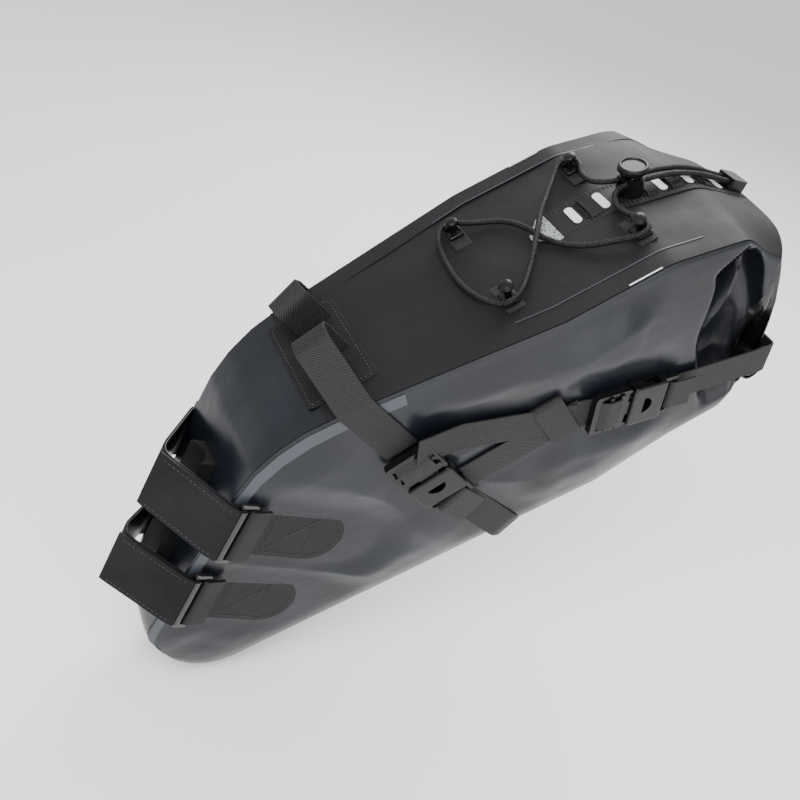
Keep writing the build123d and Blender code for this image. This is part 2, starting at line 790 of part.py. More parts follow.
lock_base = hook_low
lock_plane = on_top(lock_u, 0).offset(lock_base)
cord_level = lock_height - 4.0
bore = lock_diameter / 2 - lock_wall
slot_half = cord_diameter + 2.4
slot_height = cord_diameter + 1.6
with BuildPart() as cord_lock_body:
    with BuildSketch(lock_plane):
        Circle(lock_diameter / 2)
    extrude(amount=lock_height)
    with BuildSketch(lock_plane.offset(lock_floor)):
        Circle(bore)
    extrude(amount=lock_height, mode=Mode.SUBTRACT)
    with BuildSketch(lock_plane.offset(cord_level - slot_height / 2)):
        Rectangle(lock_diameter + 2, 2 * slot_half)
    extrude(amount=slot_height, mode=Mode.SUBTRACT)
keep(cord_lock_body, "cord_lock_body")

web_low = cord_level - slot_height / 2 - 1.5
with BuildPart() as cord_lock_button:
    with BuildSketch(lock_plane.offset(web_low)):
        Circle(bore - button_play)
    extrude(amount=lock_height + layer_gap + button_travel - web_low)
    with BuildSketch(lock_plane.offset(web_low + 1.5)):
        Rectangle(lock_diameter + 2, 2 * slot_half)
    extrude(amount=slot_height + button_travel, mode=Mode.SUBTRACT)
    with BuildSketch(lock_plane.offset(lock_height + layer_gap + button_travel)):
        Circle(button_diameter / 2)
    extrude(amount=button_thickness)
    button_rims = cord_lock_button.edges().filter_by(GeomType.CIRCLE)
    fillet(button_rims.sort_by(Axis(lock_plane.origin, lock_plane.z_dir))[-1:], 1)
keep(cord_lock_button, "cord_lock_button")
print("button runs along", lock_plane.z_dir, "from", lock_plane.origin)

spring_wire = 0.7
spring_gap = 0.2
spring_height = web_low - lock_floor - 2 * spring_gap - spring_wire
with BuildPart() as cord_lock_spring:
    with BuildLine() as coil:
        Helix(pitch=spring_height / 3, height=spring_height, radius=bore / 2, direction=lock_plane.z_dir,
              center=lock_plane.offset(lock_floor + spring_gap + spring_wire / 2).origin)
    with BuildSketch(Plane(origin=coil.line @ 0, z_dir=coil.line % 0)):
        Circle(spring_wire / 2)
    sweep(is_frenet=True)
keep(cord_lock_spring, "cord_lock_spring")

clip_plane = on_top(clip_u, 0).offset(chain_high + layer_gap)
clip_level = 4.4
with BuildPart() as cord_end_clip:
    with BuildSketch(clip_plane):
        RectangleRounded(clip_size[0], clip_size[1], 2)
    extrude(amount=clip_size[2])
    with BuildSketch(Plane(origin=clip_plane.from_local_coords((-clip_size[0], 0, clip_level)),
                           x_dir=(0, 1, 0), z_dir=clip_plane.x_dir)):
        with Locations((-4, 0), (4, 0)):
            Circle(cord_diameter / 2 + 0.3)
    extrude(amount=clip_size[0] + 2, mode=Mode.SUBTRACT)
keep(cord_end_clip, "cord_end_clip")

# The cord's route, as u, Y and w: end clip, lock, four hooks, lock, end clip
cord_route = [
    (446.0, 4.0, -2.6), (433.5, 4.0, 8.4), (418.0, 3.6, 22.5), (400.0, 3.4, 34.0), (382.0, 3.5, 40.5),
    (366.0, 3.5, 44.3), (352.0, 4.5, 47.6), (343.0, 14.0, 47.2), (343.5, 27.0, 46.0), (349.5, 37.5, 45.0),
    (349.0, 48.5, 45.0), (338.0, 49.0, 45.0), (329.0, 39.0, 45.0), (316.0, 25.0, 46.5), (301.0, 9.0, 48.6),
    (289.0, -7.5, 48.6), (277.0, -22.0, 46.4), (266.0, -34.0, 45.0), (257.0, -43.0, 45.0), (249.0, -47.0, 45.0),
    (239.5, -46.0, 45.0), (233.0, -35.0, 44.2), (229.0, -19.0, 43.0), (228.0, -1.0, 42.6), (230.0, 17.0, 43.4),
    (233.5, 33.0, 44.6), (240.0, 45.5, 45.0), (250.0, 46.5, 45.0), (259.0, 37.0, 44.6), (272.0, 31.0, 43.0),
    (283.0, 22.0, 42.3), (289.5, 8.0, 42.2), (292.5, -8.0, 42.2), (299.5, -23.0, 42.4), (311.0, -35.0, 43.0),
    (325.0, -43.0, 44.4), (336.0, -48.5, 45.0), (348.0, -49.5, 45.0), (350.0, -38.0, 45.0), (343.5, -27.0, 46.0),
    (343.0, -14.0, 47.2), (352.0, -4.5, 47.6), (366.0, -3.5, 44.3), (382.0, -3.5, 40.0), (400.0, -3.4, 33.0),
    (418.0, -3.6, 21.8), (433.5, -4.0, 8.4), (446.0, -4.0, -2.6),
]


def bend_radii(points):
    """Each bend's radius: 0.45 of its shorter run over the tangent of half its turn."""
    radii = []
    for before, here, after in zip(points, points[1:], points[2:]):
        turn = math.radians((here - before).get_angle(after - here))
        shorter = min((here - before).length, (after - here).length)
        radii.append(0.45 * shorter / math.tan(turn / 2))
    return radii


cord_points = [place(*point) for point in cord_route]
cord_radii = bend_radii(cord_points)
with BuildPart() as bungee_cord:
    with BuildLine() as cord_path:
        FilletPolyline(*cord_points, radius=cord_radii)
    with BuildSketch(Plane(origin=cord_path.line @ 0, z_dir=cord_path.line % 0)):
        Circle(cord_diameter / 2)
    sweep()
keep(bungee_cord, "bungee_cord")
section = math.pi * cord_diameter ** 2 / 4
cord_length = sum(edge.length for edge in cord_path.edges())
print("cord radii", [round(radius, 1) for radius in cord_radii])
print(f"cord length {cord_length:.1f} mm, tube volume {bungee_cord.part.volume:.0f}, "
      f"section times length {section * cord_length:.0f} mm3")
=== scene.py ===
import math

import bmesh
import bpy
from mathutils import Matrix, Vector, noise


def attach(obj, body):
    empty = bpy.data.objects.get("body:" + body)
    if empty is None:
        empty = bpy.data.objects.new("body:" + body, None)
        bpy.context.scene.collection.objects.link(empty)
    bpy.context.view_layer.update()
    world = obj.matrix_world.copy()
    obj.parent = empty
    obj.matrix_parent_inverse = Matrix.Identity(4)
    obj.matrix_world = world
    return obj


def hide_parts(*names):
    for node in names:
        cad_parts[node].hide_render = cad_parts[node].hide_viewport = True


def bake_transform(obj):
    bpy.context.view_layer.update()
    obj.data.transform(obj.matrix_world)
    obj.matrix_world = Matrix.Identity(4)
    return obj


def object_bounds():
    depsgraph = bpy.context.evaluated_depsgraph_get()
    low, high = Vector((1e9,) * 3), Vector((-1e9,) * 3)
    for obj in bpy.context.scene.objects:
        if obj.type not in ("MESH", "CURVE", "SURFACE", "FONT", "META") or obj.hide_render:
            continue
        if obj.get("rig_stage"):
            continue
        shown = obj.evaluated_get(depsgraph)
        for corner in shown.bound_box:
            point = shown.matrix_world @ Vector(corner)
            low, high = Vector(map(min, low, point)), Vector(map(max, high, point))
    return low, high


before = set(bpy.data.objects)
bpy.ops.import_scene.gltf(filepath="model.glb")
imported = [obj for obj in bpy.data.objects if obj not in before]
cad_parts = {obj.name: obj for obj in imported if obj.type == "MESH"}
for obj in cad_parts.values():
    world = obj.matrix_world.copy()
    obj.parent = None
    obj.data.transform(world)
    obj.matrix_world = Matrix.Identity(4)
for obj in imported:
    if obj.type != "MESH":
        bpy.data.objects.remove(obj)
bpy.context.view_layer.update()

bpy.ops.object.select_all(action="DESELECT")

# Places are in millimetres: u along the bag, y to the rider's right, w square to the bag's length
mm = 0.001
bagPitch = math.radians(30)
postLean = math.radians(73)
alongDir = Vector((math.cos(bagPitch), 0, math.sin(bagPitch)))
aboveDir = Vector((-math.sin(bagPitch), 0, math.cos(bagPitch)))
sideDir = Vector((0, 1, 0))
postDir = Vector((math.cos(postLean), 0, math.sin(postLean)))

bag = {"noseU": -85, "noseHalf": 31, "rearHalf": 79, "taperEndU": 267,
       "topW": 38, "topBendU": 345, "shoulder": (407, 22), "rearTop": (450, -14),
       "rearBottom": (372, -147), "bellyBend": (332, -147), "bellyRise": (240, -158),
       "noseCornerW": -105, "noseBottomW": -196, "frontTopU": 68.6}


def bagPoint(u, y, w):
    return alongDir * u + sideDir * y + aboveDir * w


def place(u, y, w):
    return bagPoint(u, y, w) * mm


sideSlope = (bag["rearHalf"] - bag["noseHalf"]) / (bag["taperEndU"] - bag["noseU"])


def halfWidth(u):
    return bag["noseHalf"] + sideSlope * (min(u, bag["taperEndU"]) - bag["noseU"])


def smooth(value, low, high):
    t = max(0.0, min(1.0, (value - low) / (high - low)))
    return t * t * (3 - 2 * t)


camera = {"lens": 40.5, "sensor": 36, "place": (-0.13127, -0.42737, 0.44891),
          "back": (-0.4461, -0.6499, 0.6154), "up": (0.1098, 0.6426, 0.7582)}


def makeCamera():
    bpy.ops.object.camera_add(location=camera["place"])
    made = bpy.context.object
    back = Vector(camera["back"]).normalized()
    right = Vector(camera["up"]).cross(back).normalized()
    up = back.cross(right)
    turn = Matrix((right, up, back)).transposed().to_4x4()
    made.matrix_world = Matrix.Translation(camera["place"]) @ turn
    made.data.lens = camera["lens"]
    made.data.sensor_width = camera["sensor"]
    made.data.clip_start = 0.01
    bpy.context.scene.camera = made


def srgb(code):
    channels = [int(code[n:n + 2], 16) / 255 for n in (1, 3, 5)]
    line = [c / 12.92 if c <= 0.04045 else ((c + 0.055) / 1.055) ** 2.4 for c in channels]
    return (*line, 1)


def addNode(tree, kind, inputs, **settings):
    node = tree.nodes.new("ShaderNode" + kind)
    for key, value in settings.items():
        setattr(node, key, value)
    for key, value in inputs.items():
        if isinstance(value, tuple) and isinstance(value[0], bpy.types.Node):
            tree.links.new(value[0].outputs[value[1]], node.inputs[key])
        else:
            node.inputs[key].default_value = value
    return node


def newMaterial(name, roughness, ior=1.5, **sockets):
    made = bpy.data.materials.new(name)
    made.use_nodes = True
    shader = made.node_tree.nodes["Principled BSDF"]
    shader.inputs["Roughness"].default_value = roughness
    shader.inputs["IOR"].default_value = ior
    for key, value in sockets.items():
        shader.inputs[key.replace("_", " ")].default_value = value
    return made, made.node_tree, shader


def mixColour(tree, shader, factor, dark, light, spread=(0.3, 0.7)):
    ramp = addNode(tree, "ValToRGB", {"Fac": factor})
    ramp.color_ramp.elements[0].position = spread[0]
    ramp.color_ramp.elements[1].position = spread[1]
    ramp.color_ramp.elements[0].color = srgb(dark)
    ramp.color_ramp.elements[1].color = srgb(light)
    tree.links.new(ramp.outputs["Color"], shader.inputs["Base Color"])


def bumpFrom(tree, shader, height, depth, strength=1.0, under=None):
    inputs = {"Height": height, "Distance": depth * mm, "Strength": strength}
    if under:
        inputs["Normal"] = (under, "Normal")
    bump = addNode(tree, "Bump", inputs)
    tree.links.new(bump.outputs["Normal"], shader.inputs["Normal"])
    return bump


def noiseAt(tree, size, detail=4, coords="Object", roughness=0.5):
    where = addNode(tree, "TexCoord", {})
    grain = addNode(tree, "TexNoise", {"Vector": (where, coords), "Scale": 1 / (size * mm),
                                       "Detail": detail, "Roughness": roughness})
    return grain


def variedRoughness(tree, shader, size, low, high):
    patch = noiseAt(tree, size, 3)
    spread = addNode(tree, "MapRange", {"Value": (patch, "Fac"), "From Min": 0.3, "From Max": 0.7,
                                        "To Min": low, "To Max": high})
    tree.links.new(spread.outputs["Result"], shader.inputs["Roughness"])


def coatedFabric(name, dark, light, rough, grain, grainDepth, fold, foldDepth, shine):
    made, tree, shader = newMaterial(name, rough[0], Specular_IOR_Level=shine)
    mixColour(tree, shader, (noiseAt(tree, 70, 3), "Fac"), dark, light)
    variedRoughness(tree, shader, 60, *rough)
    folds = bumpFrom(tree, shader, (noiseAt(tree, fold, 3), "Fac"), foldDepth)
    bumpFrom(tree, shader, (noiseAt(tree, grain, 2), "Fac"), grainDepth, under=folds)
    return made


# Polyurethane-coated polyester: a matt charcoal face with a fine woven grain
def topFabric():
    return coatedFabric("mattCoatedPolyester", "#0d0d0e", "#131314", (0.48, 0.58), 0.8, 0.1, 42, 1.2, 0.25)


# Film-laminated nylon: satin, so it shows every dent as a soft highlight
def sideFabric():
    return coatedFabric("satinLaminatedNylon", "#0c0e13", "#14171f", (0.27, 0.35), 1.1, 0.03, 48, 1.6, 0.36)


# The same laminate where it is folded near the mouth: glossier, and its colour painted darker than the
# side's as the shade in its folds
def mouthFabric():
    return coatedFabric("glossyLaminatedNylonPaintedShade", "#08080a", "#0f1013", (0.2, 0.28), 1.4, 0.02, 34, 1.4, 0.5)


# Heat-welded seam tape, paler and smoother than the cloth under it
def seamTape():
    return coatedFabric("weldedSeamTape", "#2e3238", "#3a3e45", (0.34, 0.44), 0.9, 0.03, 30, 0.4, 0.5)


# Chlorosulphonated rubber sheet: smooth with a leathery pebble
def rubberSheet():
    return coatedFabric("calenderedRubberSheet", "#0a0b0e", "#111317", (0.26, 0.34), 1.6, 0.05, 30, 0.5, 0.5)


# Knitted loop pile on the sheet's back: dull, broken up by its loops
def loopPile():
    return coatedFabric("knittedLoopPile", "#070708", "#1c1c1e", (0.85, 0.95), 0.9, 0.9, 3, 0.8, 0.25)


def webbingWeave():
    made, tree, shader = newMaterial("wovenPolyesterWebbing", 0.62, Specular_IOR_Level=0.35)
    where = addNode(tree, "UVMap", {}, uv_map="UVMap")
    # The UV map is in millimetres; a twill rib every 2.2 mm, drawn coarser than the real 1.4 so it shows
    ribs = addNode(tree, "TexWave", {"Vector": (where, "UV"), "Scale": 0.3, "Distortion": 1.2,
                                     "Detail": 2, "Detail Scale": 2}, bands_direction="DIAGONAL")
    yarn = addNode(tree, "TexNoise", {"Vector": (where, "UV"), "Scale": 1.6, "Detail": 3})
    both = addNode(tree, "Math", {0: (ribs, "Fac"), 1: (yarn, "Fac")}, operation="MULTIPLY")
    mixColour(tree, shader, (both, "Value"), "#09090a", "#292928", (0.14, 0.6))
    bumpFrom(tree, shader, (both, "Value"), 0.5)
    return made


# Acetal: injection moulded, semi-gloss with faint flow marks
def acetal():
    made, tree, shader = newMaterial("mouldedAcetal", 0.3, 1.48, Specular_IOR_Level=0.3)
    mixColour(tree, shader, (noiseAt(tree, 12, 3), "Fac"), "#070708", "#0d0d0e")
    variedRoughness(tree, shader, 6, 0.24, 0.36)
    bumpFrom(tree, shader, (noiseAt(tree, 0.5, 2), "Fac"), 0.03)
    return made


# Steel wire under black enamel
def enamelledWire():
    made, tree, shader = newMaterial("enamelledSteelWire", 0.2, 1.5, Coat_Weight=0.5)
    mixColour(tree, shader, (noiseAt(tree, 9, 3), "Fac"), "#080809", "#131314")
    bumpFrom(tree, shader, (noiseAt(tree, 1.5, 2), "Fac"), 0.05)
    return made


# Bonded polyester sewing thread: a dull twisted yarn
def sewingThread():
    made, tree, shader = newMaterial("bondedPolyesterThread", 0.6)
    mixColour(tree, shader, (noiseAt(tree, 1.2, 2), "Fac"), "#1a1b1d", "#343538")
    bumpFrom(tree, shader, (noiseAt(tree, 0.4, 2), "Fac"), 0.1)
    return made


# Glass-bead film on tape: pale grey-white with a fine sparkle
def beadFilm():
    made, tree, shader = newMaterial("glassBeadReflectiveFilm", 0.36, 1.5)
    where = addNode(tree, "TexCoord", {})
    beads = addNode(tree, "TexVoronoi", {"Vector": (where, "Object"), "Scale": 1 / (0.9 * mm)})
    mixColour(tree, shader, (beads, "Distance"), "#dfe2e3", "#c3c7c9", (0.2, 0.8))
    bumpFrom(tree, shader, (beads, "Distance"), 0.06)
    return made


def braidedCover():
    made, tree, shader = newMaterial("braidedNylonCordCover", 0.5, Specular_IOR_Level=0.3)
    where = addNode(tree, "TexCoord", {})
    pins = addNode(tree, "TexVoronoi", {"Vector": (where, "Object"), "Scale": 1 / (1.1 * mm)},
                   distance="MANHATTAN")
    mixColour(tree, shader, (pins, "Distance"), "#101011", "#060607", (0.1, 0.7))
    bumpFrom(tree, shader, (pins, "Distance"), 0.4)
    return made


# Open mesh tape, pale grey over black
def meshTape():
    made, tree, shader = newMaterial("greyMeshTape", 0.6)
    where = addNode(tree, "TexCoord", {})
    holes = addNode(tree, "TexVoronoi", {"Vector": (where, "Object"), "Scale": 1 / (1.6 * mm)})
    mixColour(tree, shader, (holes, "Distance"), "#2b2c2e", "#8b8e90", (0.25, 0.45))
    bumpFrom(tree, shader, (holes, "Distance"), 0.4)
    return made


def padRubber():
    return coatedFabric("ribbedPadRubber", "#0b0b0c", "#131314", (0.5, 0.65), 1.5, 0.1, 8, 0.3, 0.4)


# Hard-drawn spring wire, bright
def springSteel():
    made, tree, shader = newMaterial("hardDrawnSpringSteel", 0.25, Metallic=1.0)
    mixColour(tree, shader, (noiseAt(tree, 1, 2), "Fac"), "#9a9c9e", "#c2c4c6")
    return made


def stageFloor():
    made, tree, shader = newMaterial("paintedFloor", 0.8)
    mixColour(tree, shader, (noiseAt(tree, 300, 2), "Fac"), "#fafaf9", "#fcfcfb")
    return made


def giveMaterial(piece, material):
    piece.data.materials.clear()
    piece.data.materials.append(material)


def applyModifier(piece, name, kind, **settings):
    modifier = piece.modifiers.new(name, kind)
    for key, value in settings.items():
        setattr(modifier, key, value)
    bpy.context.view_layer.objects.active = piece
    bpy.ops.object.modifier_apply(modifier=name)


def outwardNormals(piece):
    bpy.ops.object.select_all(action="DESELECT")
    piece.select_set(True)
    bpy.context.view_layer.objects.active = piece
    bpy.ops.object.mode_set(mode="EDIT")
    bpy.ops.mesh.select_all(action="SELECT")
    bpy.ops.mesh.remove_doubles(threshold=0.00002)
    bpy.ops.mesh.normals_make_consistent(inside=False)
    bpy.ops.object.mode_set(mode="OBJECT")
    bpy.ops.object.shade_smooth_by_angle(angle=math.radians(40))


# A grid bent to a surface: point(s, t) gives each place, s and t from 0 to 1, size its real millimetres
def bentGrid(name, cells, point, material, size, thickness=0.0, grow=0, edgeRound=0.0):
    bpy.ops.mesh.primitive_grid_add(x_subdivisions=cells[0], y_subdivisions=cells[1], size=1)
    piece = bpy.context.object
    piece.name = name
    piece.data.name = name
    for corner in piece.data.uv_layers[0].data:
        corner.uv = (corner.uv[0] * size[0], corner.uv[1] * size[1])
    for vertex in piece.data.vertices:
        vertex.co = point(vertex.co.x + 0.5, vertex.co.y + 0.5)
    giveMaterial(piece, material)
    if thickness:
        applyModifier(piece, "wall", "SOLIDIFY", thickness=thickness * mm, offset=grow)
        outwardNormals(piece)
    if edgeRound:
        applyModifier(piece, "round", "BEVEL", width=edgeRound * mm, segments=2,
                      limit_method="ANGLE", angle_limit=math.radians(50))
        bpy.ops.object.shade_smooth_by_angle(angle=math.radians(40))
    return piece


def ridden(piece, body, slot, *nodes):
    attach(piece, body)
    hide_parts(*nodes)
    return piece


def mirrored(piece, name, body, slot, *nodes):
    copy = piece.copy()
    copy.data = piece.data.copy()
    copy.name = copy.data.name = name
    copy.parent = None
    for key in list(copy.keys()):
        if key.startswith("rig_"):
            del copy[key]
    bpy.context.scene.collection.objects.link(copy)
    copy.matrix_world = Matrix.Identity(4)
    for vertex in copy.data.vertices:
        vertex.co.y = -vertex.co.y
    copy.data.flip_normals()
    if body:
        ridden(copy, body, slot, *nodes)
    return copy


# A piece on the left and its mirror image on the right, each with its own side's body and nodes
def bothSides(piece, body, slot, *nodes):
    ridden(piece, body, slot, *nodes)
    other = [text.replace("left", "right") for text in (body, *nodes)]
    mirrored(piece, piece.name.replace("Left", "Right"), other[0], slot, *other[1:])


# Webbing on both sides: the piece and its mirror image, each with its side's CAD node hidden and its shape
# baked in place
def blendedPair(piece, node, bodies):
    other = mirrored(piece, piece.name.replace("Left", "Right"), None, None)
    for band, side, body, hand in ((piece, "left", bodies[0], 1), (other, "right", bodies[1], -1)):
        if node:
            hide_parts(node + side)
        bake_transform(band)


def joined(pieces, name):
    bpy.ops.object.select_all(action="DESELECT")
    for piece in pieces:
        piece.select_set(True)
    bpy.context.view_layer.objects.active = pieces[0]
    bpy.ops.object.join()
    pieces[0].name = name
    return pieces[0]


square = ((-1, -1), (1, -1), (1, 1), (-1, 1), (-1, -1))


# A path of straight runs joined by arcs, as evenly spaced points
def roundedPath(points, radii, step=1.0):
    points = [Vector(p) for p in points]
    out = [points[0]]
    for before, here, after, radius in zip(points, points[1:], points[2:], radii):
        a, b = (before - here).normalized(), (after - here).normalized()
        turn = math.pi - a.angle(b)
        reach = min(radius * math.tan(turn / 2), 0.49 * (before - here).length, 0.49 * (after - here).length)
        count = max(3, int(math.degrees(turn) / 9))
        for n in range(count + 1):
            t = n / count
            first, last = here + a * reach, here + b * reach
            out.append(first * (1 - t) ** 2 + here * 2 * t * (1 - t) + last * t ** 2)
    out.append(points[-1])
    return evenly(out, step)


def evenly(points, step):
    lengths = [0.0]
    for a, b in zip(points, points[1:]):
        lengths.append(lengths[-1] + (b - a).length)
    count = max(2, int(round(lengths[-1] / step)))
    out, at = [], 0
    for n in range(count + 1):
        goal = lengths[-1] * n / count
        while at < len(points) - 2 and lengths[at + 1] < goal:
            at += 1
        span = lengths[at + 1] - lengths[at] or 1.0
        out.append(points[at].lerp(points[at + 1], (goal - lengths[at]) / span))
    return out


def along(points, t):
    at = t * (len(points) - 1)
    low = min(int(at), len(points) - 2)
    return points[low].lerp(points[low + 1], at - low)


def pathLength(points):
    return sum((b - a).length for a, b in zip(points, points[1:]))


# A strap: its middle line, the direction of its width, and its half width at each share of its length
def strap(name, middle, widthDir, width, thickness, material, cellSize=1.5, halfAt=None, across=8):
    length = pathLength(middle)
    cells = (max(8, int(length / cellSize)), across)

    def point(s, t):
        half = width / 2 if halfAt is None else halfAt(s * length, length)
        return (along(middle, s) + widthDir * (2 * t - 1) * half) * mm

    return bentGrid(name, cells, point, material, (length, width), thickness, 0, thickness * 0.3)


# Stitches: short threads lying on a surface along a line of places
def stitches(name, lines, out, material, body, pitch=3.6, thread=0.75):
    mesh = bpy.data.meshes.new(name)
    build = bmesh.new()
    for line in lines:
        spots = evenly(line, pitch)
        for a, b in zip(spots, spots[1:]):
            run = b - a
            if run.length < 0.6:
                continue
            middle = (a + b) / 2
            x = run.normalized()
            y = out.cross(x).normalized()
            turn = Matrix((x, y, x.cross(y))).transposed().to_4x4()
            spot = Matrix.Translation(middle * mm) @ turn
            size = Matrix.Diagonal((run.length * 0.36 * mm, thread / 2 * mm, thread / 2 * mm, 1))
            bmesh.ops.create_uvsphere(build, u_segments=6, v_segments=4, radius=1, matrix=spot @ size)
    build.to_mesh(mesh)
    build.free()
    piece = bpy.data.objects.new(name, mesh)
    bpy.context.scene.collection.objects.link(piece)
    giveMaterial(piece, material)
    for polygon in mesh.polygons:
        polygon.use_smooth = True
    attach(piece, body)
    return piece


# A plane lying on the left side: x along a strap, y across it, z outwards
def sidePlane(u, w, angle):
    slope = sideSlope if u < bag["taperEndU"] else 0
    rear = (alongDir - sideDir * slope).normalized()
    out = aboveDir.cross(rear).normalized()
    out = out if out.y < 0 else -out
    turn = math.radians(angle)
    run = rear * math.cos(turn) + aboveDir * math.sin(turn)
    return {"origin": bagPoint(u, -halfWidth(u), w), "x": run, "y": out.cross(run), "z": out}


def postPlane(height):
    return {"origin": postDir * height, "x": sideDir.cross(postDir), "y": sideDir, "z": postDir}


def onPlane(plane, x, y=0.0, z=0.0):
    return plane["origin"] + plane["x"] * x + plane["y"] * y + plane["z"] * z


def shellCorners():
    return [(bag["rearTop"], 0), (bag["shoulder"], 34), ((bag["topBendU"], bag["topW"]), 40),
            ((bag["frontTopU"], bag["topW"]), 120), ((bag["noseU"], bag["noseCornerW"]), 24),
            ((bag["noseU"], bag["noseBottomW"]), 46), (bag["bellyRise"], 60), (bag["bellyBend"], 40),
            (bag["rearBottom"], 0)]


outlineCorners = [Vector((x, y, 0)) for (x, y), r in shellCorners()]
outlinePath = roundedPath(outlineCorners, [r for p, r in shellCorners()[1:-1]], 4.0)
noseAt = max(range(len(outlinePath)), key=lambda n: -outlinePath[n].x * 100 - abs(outlinePath[n].y + 140))
upperPath = evenly(list(reversed(outlinePath[:noseAt + 1])), 4.0)
lowerPath = evenly(outlinePath[noseAt:], 4.0)
shell = {"topInset": 0.8, "softInset": 13.0, "softReach": 26, "bottomRise": 0.117, "swell": 6.0,
         "wrinkle": 1.3, "belly": 7.0, "dent": 3.2, "tapeWidth": 10, "seamWidth": 15,
         "sideCells": (330, 120), "bandCells": 34, "thickness": 1.0}

# The webbing on the side holds the cloth down along these lines
# and the tabs of the seatpost straps by their own half width
heldLines = [((172, -18), (256, -49), 13), ((175, -70), (258, -50), 13), ((262, -50), (334, -75), 15),
             ((150, -40), (190, -150), 13), ((129, 46), (151, -43), 13),
             ((28, -30), (77, -83), 25), ((-25, -86), (25, -139), 25)]


def distanceTo(u, w, line):
    (ax, ay), (bx, by) = line
    t = max(0, min(1, ((u - ax) * (bx - ax) + (w - ay) * (by - ay)) / ((bx - ax) ** 2 + (by - ay) ** 2)))
    return math.hypot(u - ax - t * (bx - ax), w - ay - t * (by - ay))


# 1 along the soft underside, fading to 0 higher up
def softness(u, w):
    bottomW = bag["noseBottomW"] + (u - bag["noseU"]) * shell["bottomRise"]
    return 1 - smooth(w - bottomW, 15, 60)


# How far a seam lies inside the full half width
def edgeInset(u, w):
    return shell["topInset"] + (shell["softInset"] - shell["topInset"]) * softness(u, w)


# How far a seam's inset still shows this far in from it: a quarter round
def quarter(distance, reach):
    x = 1 - max(0.0, min(1.0, distance / reach))
    return 1 - math.sqrt(max(0.0, 1 - x * x))


pocket = {"depth": 26, "ridge": 17, "second": 9, "pull": 20}


# The folded pocket behind the side's rear fold, from its front line to the rear edge
def pocketDepth(u, w):
    front = 357 + 16 * smooth(w, -55, 2) + 40 * smooth(w, 2, 24) ** 2
    rear = 436 - 30 * smooth(-w, 60, 130)
    x = (u - front) / (rear - front)
    if not 0 < x < 1:
        return 0.0
    fade = smooth(w, -128, -92) * (1 - smooth(w, 6, 24))
    across = smooth(x, 0, 0.27) * (1 - smooth(x, 0.66, 1))
    ridge = math.exp(-((x - 0.42 - (w + 20) / 260) / 0.1) ** 2) * smooth(w, -95, -25)
    second = math.exp(-((x - 0.68) / 0.1) ** 2) * smooth(-w, 10, 60)
    return fade * (pocket["depth"] * across - pocket["ridge"] * ridge - pocket["second"] * second)


# The mouth draws the rear corners in from the full length
def drawnIn(u, y, w):
    share = smooth(u, 385, 450)
    side = min(1.0, abs(y) / bag["rearHalf"]) ** 3
    return u - pocket["pull"] * share * side, y * (1 - 0.05 * share * side), w


# The left side: s runs from the mouth to the nose, t from the top edge to the bottom edge
def sideSurface(s, t):
    top, low = along(upperPath, s), along(lowerPath, s)
    spot = top.lerp(low, t)
    u, w = spot.x, spot.y
    height = (top - low).length
    fromTop, fromLow = t * height, (1 - t) * height
    insetTop = edgeInset(top.x, top.y)
    inset = max(insetTop * quarter(fromTop, max(3, 2 * insetTop)),
                edgeInset(low.x, low.y) * quarter(fromLow, shell["softReach"]))
    held = min(distanceTo(u, w, line[:2]) - line[2] for line in heldLines)
    free = smooth(held, 2, 32) * smooth(fromTop, 4, 40) * smooth(fromLow, 8, 50) * smooth(height, 20, 90)
    free *= 1 - smooth(u, 300, 352)
    ripple = noise.noise(Vector((u / 52, w / 40, 3.1))) + 0.4 * noise.noise(Vector((u / 22, w / 19, 8.4)))
    swell = free * (shell["swell"] * (0.4 + 0.6 * smooth(u, 10, 75)) + shell["wrinkle"] * ripple * 1.6)
    dent = shell["dent"] * math.exp(-(((u - 218) / 15) ** 2 + ((w + 98) / 26) ** 2)) * free
    dent += pocketDepth(u, w) * smooth(fromTop, 0, 16) * smooth(fromLow, 2, 30)
    u, y, w = drawnIn(u, halfWidth(u) - inset + swell - dent, w)
    return bagPoint(u, -y, w)


def sideLifted(s, t, lift):
    d = 0.004
    a = sideSurface(min(s + d, 1), t) - sideSurface(max(s - d, 0), t)
    b = sideSurface(s, min(t + d, 1)) - sideSurface(s, max(t - d, 0))
    out = a.cross(b)
    out = -sideDir if out.length < 1e-9 else out.normalized()
    out = out if out.y < 0 else -out
    return sideSurface(s, t) + out * lift


# The band round the outline: k runs over the top, down the nose and back below, r from left to right
def bandSurface(k, r):
    here = along(outlinePath, k)
    ahead = along(outlinePath, min(k + 0.004, 1)) - along(outlinePath, max(k - 0.004, 0))
    out = Vector((ahead.y, -ahead.x)).normalized() * -1
    u, w = here.x, here.y
    half = halfWidth(u) - edgeInset(u, w)
    soft = softness(u, w)
    crown = shell["belly"] * (1 - r * r) * soft
    sink = (noise.noise(Vector((u / 45, r * half / 34, 5.5))) - 0.35) * 1.5 * (1 - soft)
    sink = min(sink, 0.0) * (1 - r ** 6)
    lift = crown + sink
    u, y, w = drawnIn(u + out.x * lift, r * half, w + out.y * lift)
    return bagPoint(u, y, w)


def bandLifted(k, r, lift):
    here = bandSurface(k, r)
    a = bandSurface(min(k + 0.003, 1), r) - bandSurface(max(k - 0.003, 0), r)
    return here + sideDir.cross(a).normalized() * lift


def shareAt(u, upper=True):
    found = [n for n in range(len(outlinePath)) if (n < noseAt) == upper]
    return min(found, key=lambda n: abs(outlinePath[n].x - u)) / (len(outlinePath) - 1)


